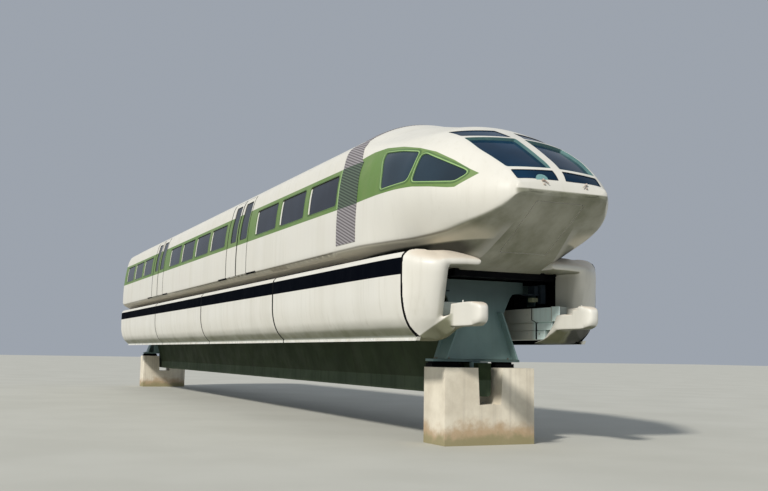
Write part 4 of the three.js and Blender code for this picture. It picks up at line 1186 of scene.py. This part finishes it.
BELLOWS_LOOP = {"half": 0.50, "bottom": 3.315, "top": 5.30, "radius": 0.05}
BELLOWS_SECTION = [(0.0, 0.004), (0.0, -0.012), (0.018, -0.022), (0.032, -0.010), (0.046, -0.022),
                   (0.060, -0.010),
                   (0.074, -0.022), (0.092, -0.012), (0.092, 0.004)]
LEAF_WINDOW = {"half": 0.17, "bottom": 4.15, "top": 4.80, "radius": 0.05}
LEAF_SEAL = [(-0.006, 0.002), (-0.006, -0.005), (0.004, -0.009), (0.018, -0.007), (0.022, 0.002)]
LEAF_HANDLE = {"y": -0.36, "low": 4.02, "high": 4.24, "out": 0.035}

around_door, around_pane = (
    rectangle(-loop["half"], loop["half"], loop["bottom"], loop["top"], loop["radius"])
    for loop in (BELLOWS_LOOP, LEAF_WINDOW)
)
Parts().ring(around_door, [(out, REAR_X + x) for out, x in BELLOWS_SECTION]).make(
    "gangway_bellows", RUBBER, "undercarriage")
Parts().ring(around_pane, [(out, REAR_X + x) for out, x in LEAF_SEAL]).make(
    "gangway_window_seal", RUBBER, "inside_lining", body="gangway_leaf")
Parts().prism(around_pane, 0, REAR_X - 0.003, REAR_X + 0.047).make(
    "gangway_window_pane", GLASS, "inside_lining", body="gangway_leaf", bevel=0.001)
handle = Parts()
handle_x, handle_y = REAR_X - LEAF_HANDLE["out"], LEAF_HANDLE["y"]
handle.rod((handle_x, handle_y, LEAF_HANDLE["low"]), (handle_x, handle_y, LEAF_HANDLE["high"]), 0.012)
for height in (LEAF_HANDLE["low"] + 0.02, LEAF_HANDLE["high"] - 0.02):
    handle.rod((REAR_X + 0.004, handle_y, height), (handle_x, handle_y, height), 0.008)
handle.make("gangway_handle", BOLT, "inside_lining", body="gangway_leaf", bevel=0.002)

# Skirts and their nose fairings

SEAM_PITCH = 6.25
SEAM_HALVES = [0.024, 0.042, 0.042, 0.042]
FRONT_SEAM = -0.096
TAPER_FROM = -1.2
TAPER = 0.046
REAR_CORNER = 0.36
SKIRT_OUTER = [(1.780, 2.980), (1.830, 2.920), (1.845, 2.820), (1.846, 2.500), (1.835, 2.235),
               (1.785, 2.000), (1.710, 1.840), (1.640, 1.757), (1.574, 1.695), (1.569, 1.631)]
SKIRT_INNER = [(1.539, 1.631), (1.544, 1.711), (1.612, 1.787), (1.676, 1.864), (1.747, 2.016),
               (1.795, 2.240), (1.806, 2.500), (1.805, 2.815), (1.792, 2.900), (1.745, 2.950)]

outer_line = np.vstack([spline(SKIRT_OUTER[:-1], 6), SKIRT_OUTER[-1]])
inner_line = np.vstack([SKIRT_INNER[0], spline(SKIRT_INNER[1:], 6)])


STRIP = np.array([(1.572, 1.678), (1.567, 1.631), (1.579, 1.629), (1.584, 1.676)])


def taper(x):
    """How far the first panel draws in towards its front end."""
    return TAPER * max(0.0, (x - TAPER_FROM) / (FRONT_SEAM - TAPER_FROM))**2


def line_y(line, z):
    order = np.argsort(line[:, 1])
    return np.interp(z, line[order, 1], line[order, 0])


def skirt_ring(x, side, cut=0.0, thin=0.0):
    """Skirt section at x, with everything under the cut height drawn up to it."""
    low = outer_line[-1, 1] + cut
    rows = []
    for line, way in ((outer_line, -1), (inner_line, 1)):
        for y, z in line:
            height = max(z, low)
            y = y if cut == 0 or z >= low else line_y(line, height)
            rows.append((x, side * (y + way * thin - taper(x)), height))
    return np.array(rows)


def skirt_seam(number):
    """Middle of the seam in front of a panel."""
    return FRONT_SEAM if number == 1 else -SEAM_PITCH * (number - 1)


for hand, side in SIDES:
    seals, strips = Parts(), Parts()
    for number in range(1, 5):
        front = skirt_seam(number) - SEAM_HALVES[number - 1]
        rear = REAR_X if number == 4 else skirt_seam(number + 1) + SEAM_HALVES[number]
        places = [(rear, 0.0), (front, 0.0)]
        steps = [rear, front]
        if number == 1:
            places = [(rear, 0.0), *((x, 0.0) for x in np.linspace(TAPER_FROM, front, 9))]
            steps = [rear, *np.linspace(TAPER_FROM, front, 7)]
        if number == 4:
            turn = np.linspace(0, math.pi / 2, 7)
            corner = [(rear + REAR_CORNER * (1 - math.cos(a)), REAR_CORNER * (1 - math.sin(a))) for a in turn]
            places = [*corner, (front, 0.0)]
            steps = [rear + REAR_CORNER * 0.8, front]
        around = len(outer_line) + len(inner_line)
        # The skirt's inner faces take the black: painted shade inside the skirts
        inward = [k * around + i for k in range(len(places) - 1) for i in range(len(outer_line), around - 1)]
        Parts().loft([skirt_ring(x, side, cut) for x, cut in places]).make(
            f"skirt_panel_{hand}_{number}", SKIRT_PAINT, "skirt_paint", bevel=0.005, second=(BLACK_AND_GAP_SHADE, inward),
            replaces=[f"skirt_{hand}_{number}"])
        strips.loft([np.insert((STRIP - [taper(x), 0]) * [side, 1], 0, x, axis=1) for x in steps])
        middle = skirt_seam(number)
        half = SEAM_HALVES[number - 1] + 0.001
        seals.loft([skirt_ring(x, side, thin=0.004) for x in (middle - half, middle + half)])
    strips.make(f"skirt_strips_{hand}", TRIM_WHITE, "skirt_paint")
    seals.make(f"skirt_seals_{hand}", BLACK_AND_GAP_SHADE, "undercarriage")

# Height and how far the fairing's cheek reaches forward there
CHEEK_REACH = [(1.635, -0.075), (1.68, -0.06), (1.75, -0.03), (1.85, 0.04), (1.95, 0.11), (2.1, 0.171),
               (2.3, 0.239),
               (2.5, 0.307), (2.7, 0.370), (2.78, 0.380), (2.82, 0.365), (2.86, 0.32), (2.90, 0.25),
               (2.94, 0.16),
               (2.98, 0.05), (3.01, -0.01), (3.03, -0.05)]
CHEEK_TOP = [(2.92, 1.83), (2.98, 1.78), (3.01, 1.735), (3.03, 1.66)]
CHEEK_PLAN = [(-0.080, 1.80), (0.02, 1.735), (0.14, 1.63), (0.26, 1.50), (0.33, 1.40), (0.35, 1.31),
              (0.315, 1.225),
              (0.235, 1.17), (0.1, 1.155)]
CHEEK_BACK = [(-0.33, 1.155), (-0.33, 1.23), (-0.080, 1.33)]
CHEEK_FRONT, CHEEK_INNER, CHEEK_OUTER = 0.375, 1.155, 1.846
FAIRING_REAR = -0.080
VISOR = [(-0.33, 3.03), (0.0, 3.03), (0.14, 2.995), (0.25, 2.95), (0.32, 2.91), (0.35, 2.86), (0.335, 2.81),
         (0.28, 2.79), (-0.33, 2.78)]
VISOR_RINGS = [(0.645, 0.5, 0.02), (0.665, 0.8, 0.02), (0.70, 0.95, 0.018), (0.74, 1.0, 0.014),
               (0.95, 1.0, 0.016),
               (1.16, 1.0, 0.030), (1.22, 0.94, 0.034), (1.27, 0.8, 0.036), (1.31, 0.55, 0.036)]
VISOR_DROP_FROM, VISOR_DROP_TO = 0.0, 0.33

# Underside from the cheek's foot into the horn: x, inner y, its upper and lower z, the prow's y and z, and
# the outer y with its lower and upper z
CHIN_ROWS = [
    (-0.60, 0.90, 1.650, 1.637, 1.10, 1.630, 1.30, 1.632, 1.650),
    (-0.30, 0.87, 1.700, 1.690, 1.10, 1.636, 1.48, 1.633, 1.690),
    (-0.217, 0.86, 1.740, 1.720, 1.10, 1.640, 1.50, 1.637, 1.700),
    (-0.10, 0.86, 1.840, 1.785, 1.08, 1.650, 1.45, 1.680, 1.760),
    (0.05, 0.86, 1.990, 1.845, 1.06, 1.706, 1.33, 1.890, 1.950),
    (0.13, 0.86, 2.090, 1.850, 1.04, 1.760, 1.20, 1.955, 2.000),
    (0.19, 0.86, 2.090, 1.850, 1.04, 1.800, 1.11, 1.940, 2.030),
    (0.24, 0.86, 2.090, 1.850, 1.04, 1.830, 1.07, 1.890, 2.090),
    (0.36, 0.86, 2.090, 1.850, 1.02, 1.850, 1.06, 1.852, 2.090),
]
HORN = {"inner": 0.86, "outer": 1.095, "bottom": 1.85, "top": 2.20, "from": 0.36, "to": 0.82}
HORN_PLATE = [(0.12, 1.86), (0.18, 2.195), (0.60, 2.205), (0.80, 2.205), (0.80, 1.85), (0.34, 1.85)]
HORN_STEPS = [(0.34, 2.085), (0.56, 2.15), (0.70, 2.205)]
HORN_END = [(-0.02, 1.0), (0.015, 0.99), (0.045, 0.96), (0.075, 0.915), (0.10, 0.855), (0.12, 0.785),
            (0.138, 0.70),
            (0.152, 0.60), (0.163, 0.48), (0.171, 0.34), (0.175, 0.18)]
HORN_LIFT = 0.03
FILLET = np.array([(1.20, 2.82), (1.20, 2.70), (1.175, 2.73), (1.14, 2.77), (1.09, 2.79), (1.02, 2.80),
                   (1.02, 2.82)])
FAIRING_FOOT = [(-0.078, 1.632), (-0.078, 1.672), (-0.02, 1.690), (-0.055, 1.632)]
FAIRING_VOXEL = 0.011


def cheek_ring(z, side):
    reach = np.interp(z, *np.array(CHEEK_REACH).T)
    outer = np.interp(z, *np.array(CHEEK_TOP).T) if z > CHEEK_TOP[0][0] else line_y(outer_line, z)
    x, y = np.vstack([spline(CHEEK_PLAN, 4), CHEEK_BACK]).T
    forward = (reach - FAIRING_REAR) / (CHEEK_FRONT - FAIRING_REAR)
    x = np.where(x > FAIRING_REAR, FAIRING_REAR + (x - FAIRING_REAR) * forward, x)
    y = CHEEK_INNER + (y - CHEEK_INNER) * (outer - TAPER - CHEEK_INNER) / (CHEEK_OUTER - TAPER - CHEEK_INNER)
    return np.column_stack([x, side * y, np.full(len(x), z)])


def fairing_form(side):
    """Cheek, visor, chin and horn as overlapping closed forms."""
    form = Parts()
    form.loft([cheek_ring(z, side) for z, _ in CHEEK_REACH])
    visor = np.vstack([spline(VISOR[:-1], 3), VISOR[-1]])
    middle = np.array([-0.05, 2.9])
    forward = np.clip((visor[:, :1] - VISOR_DROP_FROM) / (VISOR_DROP_TO - VISOR_DROP_FROM), 0, 1)
    form.loft([np.insert(middle + (visor - middle) * [1, share] - forward * [0, drop], 1, side * y, axis=1)
               for y, share, drop in VISOR_RINGS])
    form.prism(FILLET * [side, 1], 0, -0.33, 0.24)
    rings = []
    for x, yi, top_i, low_i, yl, low, yo, low_o, top_o in CHIN_ROWS:
        ring = [(yi, top_i), (yi, low_i), (yl, low), (yo, low_o), (yo, top_o)]
        rings.append(np.array([(x, side * y, z) for y, z in ring]))
    form.loft(rings)
    y0, y1, z0, z1 = HORN["inner"], HORN["outer"], HORN["bottom"], HORN["top"]
    form.side_prism(side, HORN_PLATE, (y1 - 0.05, y1))
    for x, top in HORN_STEPS:
        form.side_box(side, (x, HORN["to"] - 0.01), (y0, y1 - 0.03), (z0, top))
    section = rounded([(y0, z0), (y1, z0), (y1, z1), (y0, z1)], [0.085, 0.085, 0.06, 0.06], 5)
    centre = section.mean(axis=0)
    form.loft([np.insert((centre + (section - centre) * share + [0, HORN_LIFT * (1 - share)]) * [side, 1], 0,
                         HORN["to"] + dx, axis=1) for dx, share in HORN_END])
    return form


def smoothed(points, edges, rounds):
    """Points drawn towards the mean of their neighbours, again and again."""
    a, b = edges.T
    size = len(points)
    count = np.bincount(edges.ravel(), minlength=size)[:, None]
    for _ in range(rounds):
        total = [np.bincount(a, line[b], size) + np.bincount(b, line[a], size) for line in points.T]
        points = points + 0.5 * (np.array(total).T / count - points)
    return points


def ramp(values, low, high):
    share = np.clip((values - low) / (high - low), 0, 1)
    return (share**2 * (3 - 2 * share))[:, None]


def remeshed(piece):
    """The piece's mesh as one even skin."""
    remesh = piece.modifiers.new("remesh", "REMESH")
    remesh.mode = "VOXEL"
    remesh.voxel_size = FAIRING_VOXEL
    fine = bpy.data.meshes.new_from_object(piece.evaluated_get(bpy.context.evaluated_depsgraph_get()))
    piece.modifiers.clear()
    piece.data = fine
    return fine


def eased(start, edges):
    """Points smoothed more or less by place: least on the horn, not at all at the seam."""
    crisp = smoothed(start, edges, 3)
    soft = smoothed(crisp, edges, 14)
    softer = smoothed(soft, edges, 36)
    x, y, z = start.T
    x = x - SEAM_X
    horn = ramp(x, 0.10, 0.20) * ramp(-z, -2.4, -2.25) * ramp(-x, -0.80, -0.70)
    seam = ramp(np.abs(y), 1.36, 1.42) * ramp(-np.abs(x - FAIRING_REAR), -0.05, -0.012)
    shoulder = ramp(z, 2.64, 2.74) * ramp(np.abs(y), 1.10, 1.20)
    chin = ramp(-z, -2.05, -1.95) * ramp(-x, -0.14, -0.06)
    blend = np.maximum(shoulder, chin)
    points = softer * blend + soft * (1 - blend)
    points = points * (1 - horn) + crisp * horn
    return points * (1 - seam) + start * seam


for hand, side in SIDES:
    piece = fairing_form(side).make(f"fairing_{hand}", FAIRING_PAINT)
    fine = remeshed(piece)
    start = np.empty(len(fine.vertices) * 3)
    fine.vertices.foreach_get("co", start)
    edges = np.empty(len(fine.edges) * 2, np.int32)
    fine.edges.foreach_get("vertices", edges)
    fine.vertices.foreach_set("co", eased(start.reshape(-1, 3), edges.reshape(-1, 2)).ravel())
    fine.materials.clear()
    fine.materials.append(FAIRING_PAINT)
    fine.polygons.foreach_set("use_smooth", [True] * len(fine.polygons))
    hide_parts(f"skirt_fairing_{hand}", f"horn_{hand}")
    Parts().side_prism(side, FAIRING_FOOT, (1.49, 1.555)).make(
        f"fairing_foot_{hand}", TRIM_WHITE, "skirt_paint", bevel=0.002)
    Parts().rod((0.52, side * 1.07, 2.15), (0.52, side * 1.07, 2.235), 0.008).make(
        f"horn_pin_{hand}", TRIM_WHITE, "skirt_paint", bevel=0.002)

# Levitation magnets: one casing for each module, with a stepped gap between them

MAGNET_FRONT = 0.0
MAGNET_REAR = -25.2
GAP_UPPER, GAP_LOWER, GAP_HALF = -0.624, -0.500, 0.024
MAGNET_UPPER = {"inner": 0.885, "outer": 1.30, "bottom": 1.995, "turn": 2.03, "top": 2.22}
MAGNET_LOWER = {"inner": 0.898, "outer": 1.28, "bottom": 1.70, "top": 1.972}
GROOVE_Z = 1.85
MAGNET_TOES = {"middle": -0.03, "low": -0.25}
GAP_LINE = [(GAP_UPPER, 2.215), (GAP_UPPER, 2.03), (GAP_LOWER, 1.98), (GAP_LOWER, 1.705)]
END_CAP = {"x": (-0.03, 0.008), "y": (0.872, 1.30), "z": (1.985, 2.232)}
END_PLATE = {"x": (0.0, 0.20), "y": (0.868, 0.886), "z": (1.99, 2.225)}

# Round heads on the magnets' inner faces: x, z, radius, and the y they reach in to
HEADS = [(x, z, radius, y) for x in (-0.75, -0.72 - SEAM_PITCH, -0.72 - 2 * SEAM_PITCH)
         for z, radius, y in ((1.80, 0.016, (0.889, 0.882)), (2.12, 0.012, (0.889, 0.877)))]
HEADS.append((-0.40, 1.79, 0.016, (0.903, 0.892)))


def magnet_ends(number):
    """Front and rear x of a module's upper and lower casings."""
    upper = [GAP_UPPER - SEAM_PITCH * k for k in (number - 1, number)]
    lower = [GAP_LOWER - SEAM_PITCH * k for k in (number - 1, number)]
    front = (MAGNET_FRONT, MAGNET_FRONT) if number == 0 else (upper[0] - GAP_HALF, lower[0] - GAP_HALF)
    rear = (MAGNET_REAR, MAGNET_REAR) if number == 4 else (upper[1] + GAP_HALF, lower[1] + GAP_HALF)
    return front, rear


def magnet_casing(side, number):
    (front_up, front_low), (rear_up, rear_low) = magnet_ends(number)
    casing = Parts()
    up, low = MAGNET_UPPER, MAGNET_LOWER
    foot = up["bottom"] - 0.01
    upper = [(front_up, up["top"]), (front_up, up["turn"]), (front_low, foot), (rear_low, foot),
             (rear_up, up["turn"]), (rear_up, up["top"])]
    casing.side_prism(side, upper, (up["inner"], up["outer"]))
    toes = MAGNET_TOES if number == 0 else {"middle": front_low, "low": front_low}
    for toe, z0, z1 in ((toes["middle"], GROOVE_Z + 0.004, low["top"]),
                        (toes["low"], low["bottom"], GROOVE_Z - 0.004)):
        casing.side_box(side, (rear_low, toe), (low["inner"], low["outer"]), (z0, z1))
        casing.side_box(side, (rear_low + 0.01, toe - 0.01), (low["inner"] + 0.02, low["outer"] - 0.02),
                        (z0 + 0.01, z1 + 0.03))
    return casing


for hand, side in SIDES:
    for number in range(5):
        magnet_casing(side, number).make(f"magnet_casing_{hand}_{number + 1}", MAGNET, "magnet_casing",
                                         bevel=0.006, replaces=[f"magnet_row_{hand}"])
    gaps, ends = Parts(), Parts()
    # Black strips fill the gaps between the casings as painted shade
    half = GAP_HALF + 0.003
    strip = np.array([(x + half, z) for x, z in GAP_LINE] + [(x - half, z) for x, z in GAP_LINE[::-1]])
    for number in range(4):
        gaps.side_prism(side, strip - [SEAM_PITCH * number, 0], (0.904, 1.27))
    gaps.make(f"magnet_gap_shade_{hand}", BLACK_AND_GAP_SHADE, "undercarriage")
    Parts().side_box(side, **END_PLATE).make(f"magnet_plate_{hand}", MAGNET, "magnet_casing", bevel=0.003)
    ends.side_box(side, **END_CAP)
    for x, z, radius, y in HEADS:
        ends.rod((x, side * y[0], z), (x, side * y[1], z), radius)
    ends.make(f"magnet_ends_{hand}", MAGNET_END, "magnet_casing", bevel=0.004)

# Black walls that close the gaps between the body, the skirts and the deck, as painted shade

SHADE_APRON = [(-25.3, 1.45), (-25.3, 1.50), (-0.95, 1.50), (-0.20, 1.10), (-0.20, 1.05), (-0.97, 1.45)]

shade_walls = Parts()
shade_walls.box((-0.36, -0.84, 2.66), (-0.16, 0.84, 2.94))
shade_walls.box((-0.40, -1.17, 2.66), (-0.36, 1.17, 2.95))
for _, side in SIDES:
    shade_walls.prism(np.array(SHADE_APRON) * [1, side], 2, 2.74, 3.05)
shade_walls.make("underbody_shade_walls", BLACK_AND_GAP_SHADE, "undercarriage", bevel=0.004)

# Guideway deck and its end pedestals

DECK = {"top": 2.65, "thick": 0.15, "half": 1.40, "end_half": 0.83, "end_length": 0.4, "front": -0.85,
        "rear": -26.19}
BEAM_MIDDLE = -13.52
GUIDE_RAIL = {"inner": 1.36, "bottom": 2.30}
STATOR = {"inner": 1.0, "outer": 1.25, "bottom": 2.235, "top": 2.51, "pitch": 1.019, "gap": 0.03, "count": 24}
PLATE = [(0.0, 2.668), (0.865, 2.668), (0.865, 2.472), (0.72, 2.465), (0.655, 2.452), (0.607, 2.39),
         (0.556, 2.277),
         (0.50, 2.158), (0.462, 2.05), (0.475, 1.95), (0.515, 1.80), (0.60, 1.56), (0.665, 1.36),
         (0.0, 1.36)]
FLANGE = [(0.351, 2.143), (0.381, 2.143), (0.683, 1.36), (0.653, 1.36)]
FLANGE_BACK = [(0.40, 2.09), (0.44, 2.09), (0.683, 1.36), (0.645, 1.36)]
CHORD_END = [(-0.165, 1.315), (-0.135, 0.765), (0.125, 0.765), (0.150, 1.315)]
BASE = {"front": -0.90, "rear": -1.15, "half": 0.83, "bottom": 1.318, "top": 1.36}
PADS = [(0.36, 0.72, 1.226, 1.318), (-0.84, -0.30, 1.226, 1.318)]
BASE_BOLTS = {"x": -0.96, "y": (-0.76, -0.72, 0.735, 0.775, -0.25, 0.22)}
PLATE_BOLTS = {"x": -0.84, "y": (-0.56, 0.56), "z": 1.375}
ENDS = (("front", 1), ("rear", -1))


def span(way, x0, x1):
    return sorted([x0, x1]) if way > 0 else sorted([2 * BEAM_MIDDLE - x0, 2 * BEAM_MIDDLE - x1])


def plate_outline():
    half = np.vstack([PLATE[:6], spline(PLATE[6:12], 4), PLATE[12:]])
    outline = np.vstack([half, (half * [-1, 1])[::-1]])
    _, first = np.unique(np.round(outline, 5), axis=0, return_index=True)
    return outline[np.sort(first)]


for end, way in ENDS:
    pedestal, bolts, pads = Parts(), Parts(), Parts()
    pedestal.prism(plate_outline(), 0, *span(way, -0.88, DECK["front"]))
    for _, side in SIDES:
        pedestal.prism(np.array(FLANGE) * [side, 1], 0, *span(way, -1.12, -0.70))
        pedestal.prism(np.array(FLANGE_BACK) * [side, 1], 0, *span(way, -1.15, -1.05))
    for x, half, z0, z1 in (((BASE["rear"], BASE["front"]), BASE["half"], BASE["bottom"], BASE["top"]),
                            ((-1.15, -1.12), 0.45, 1.36, 2.50)):
        x0, x1 = span(way, *x)
        pedestal.box((x0, -half, z0), (x1, half, z1))
    pedestal.make(f"beam_pedestal_{end}", STEEL, "beam_steel", bevel=0.004, replaces=[f"beam_end_{end}"])
    x, _ = span(way, BASE_BOLTS["x"], BASE_BOLTS["x"])
    for y in BASE_BOLTS["y"]:
        bolts.rod((x, y, BASE["top"]), (x, y, BASE["top"] + 0.022), 0.014, sides=6)
    x, _ = span(way, PLATE_BOLTS["x"], PLATE_BOLTS["x"])
    reach, z = 0.012 * way, PLATE_BOLTS["z"]
    for y in PLATE_BOLTS["y"]:
        bolts.rod((x - reach, y, z), (x + reach, y, z), 0.012, sides=8)
    bolts.make(f"pedestal_bolts_{end}", BOLT, "beam_steel", bevel=0.002)
    for y0, y1, z0, z1 in PADS:
        x0, x1 = span(way, -1.12, -0.90)
        pads.box((x0, y0, z0), (x1, y1, z1 - 0.03))
        x0, x1 = span(way, -1.10, -0.925)
        pads.box((x0, y0 + 0.03, z1 - 0.03), (x1, y1 - 0.03, z1))
    pads.make(f"bearing_pads_{end}", BLACK_AND_GAP_SHADE, "beam_steel", bevel=0.005)

for end, way in ENDS:
    Parts().prism(rounded(CHORD_END, [0.01, 0.06, 0.06, 0.01]), 0, *span(way, -0.86, -0.79)).make(
        f"chord_end_{end}", STEEL, "beam_steel", bevel=0.004)

deck, stators = Parts(), Parts()
front, rear = DECK["front"] - 0.001, DECK["rear"] + 0.001
inner_front, inner_rear = front - DECK["end_length"], rear + DECK["end_length"]
plan = [(front, DECK["end_half"]), (inner_front, DECK["end_half"]), (inner_front, DECK["half"]),
        (inner_rear, DECK["half"]), (inner_rear, DECK["end_half"]), (rear, DECK["end_half"])]
plan = plan + [(x, -y) for x, y in plan[::-1]]
deck.prism(plan, 2, DECK["top"] - DECK["thick"], DECK["top"])
for _, side in SIDES:
    deck.side_box(side, (inner_rear + 0.001, inner_front - 0.001),
                  (GUIDE_RAIL["inner"], DECK["half"] - 0.001), (GUIDE_RAIL["bottom"], DECK["top"] - 0.14))
    for number in range(STATOR["count"]):
        start = inner_rear + 0.05 + number * STATOR["pitch"]
        stators.side_box(side, (start, start + STATOR["pitch"] - STATOR["gap"]),
                         (STATOR["inner"], STATOR["outer"]), (STATOR["bottom"], STATOR["top"]))
deck.make("guideway_deck", STEEL, "beam_steel", bevel=0.006, replaces=["beam_deck"])
stators.make("stator_packs", BLACK_AND_GAP_SHADE, "beam_steel", bevel=0.006)

# Gear at the front end of the first levitation frame, seen between the deck and the fairing, as x, y and z
# ranges

GEAR = [((-0.62, -0.50), (1.007, 1.09), (2.30, 2.62)), ((-0.70, -0.50), (0.74, 0.955), (2.435, 2.455)),
        ((-0.75, -0.55), (0.90, 0.98), (2.45, 2.60))]
GEAR_BLOCKS = [((-0.62, -0.50), (0.82, 0.94), (2.325, 2.395))]
for name, ranges, material, bevel in (("frame_gear", GEAR, GEAR_BLUE, 0.006),
                                      ("frame_gear_blocks", GEAR_BLOCKS, SAND, 0.008)):
    gear = Parts()
    for _, side in SIDES:
        for x, y, z in ranges:
            gear.side_box(side, x, y, z)
    gear.make(name, material, "undercarriage", bevel=bevel)

# Camera, floor and light

CAMERA = {"place": (25.2618, -7.9653, 1.4029), "yaw": 1.1427, "pitch": 0.1157, "roll": 0.0163, "lens": 44.21}
FLOOR = {"reach": 220, "z": -0.0005}
SUN = {"energy": 3.25, "degrees": 5, "color": (1.0, 0.965, 0.90), "from": (0.5, -0.7, 0.62)}
SKY = {"color": (0.80, 0.88, 1.0, 1.0), "strength": 0.42}


def placed(name, data):
    """A new object in the scene."""
    made = bpy.data.objects.new(name, data)
    bpy.context.scene.collection.objects.link(made)
    return made


def photo_camera():
    yaw, pitch, roll = CAMERA["yaw"], CAMERA["pitch"], CAMERA["roll"]
    forward = Vector((-math.sin(yaw) * math.cos(pitch), math.cos(yaw) * math.cos(pitch), math.sin(pitch)))
    right = Vector((math.cos(yaw), math.sin(yaw), 0))
    up = right.cross(forward)
    tilted_right = math.cos(roll) * right + math.sin(roll) * up
    tilted_up = -math.sin(roll) * right + math.cos(roll) * up
    turn = Matrix((tilted_right, tilted_up, -forward)).transposed()
    data = bpy.data.cameras.new("photo_camera")
    data.sensor_width = 36
    data.lens = CAMERA["lens"]
    data.clip_end = 500
    camera = placed("photo_camera", data)
    camera.matrix_world = Matrix.Translation(CAMERA["place"]) @ turn.to_4x4()
    bpy.context.scene.camera = camera


def studio():
    mesh = bpy.data.meshes.new("floor")
    corners = rectangle(-FLOOR["reach"], FLOOR["reach"], -FLOOR["reach"], FLOOR["reach"])
    mesh.from_pydata([(x, y, 0) for x, y in corners], [], [(0, 1, 2, 3)])
    mesh.materials.append(two_toned("pale_floor", (0.4, 3.0), (0.50, 0.495, 0.44), (0.54, 0.535, 0.48), 0.9))
    floor = placed("floor", mesh)
    floor.location.z = FLOOR["z"]
    sun = bpy.data.lights.new("key", "SUN")
    sun.energy = SUN["energy"]
    sun.angle = math.radians(SUN["degrees"])
    sun.color = SUN["color"]
    key = placed("key", sun)
    key.rotation_mode = "QUATERNION"
    key.rotation_quaternion = Vector(SUN["from"]).to_track_quat("Z", "Y")
    world = bpy.data.worlds.new("studio")
    world.use_nodes = True
    back = world.node_tree.nodes["Background"]
    back.inputs["Color"].default_value = SKY["color"]
    back.inputs["Strength"].default_value = SKY["strength"]
    bpy.context.scene.world = world
    bpy.context.scene.view_settings.view_transform = "Standard"


photo_camera()
studio()

# CAD nodes that show as they are

for node_name, material in (
    ("plinth_block_front", CONCRETE), ("plinth_block_rear", CONCRETE), ("beam_web", WEB_STEEL_IN_PAINTED_SHADE),
    ("underframe", DARK), ("coupler", DARK), ("rear_bulkhead", BODY_PAINT), ("gangway_door", LINING),
    ("cab_partition", LINING), ("driver_desk", DARK), ("driver_seat", CLOTH),
    *((f"bogie_frame_{number}", DARK) for number in range(1, 5)),
):
    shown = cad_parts[node_name]
    shown.data.materials.clear()
    shown.data.materials.append(material)
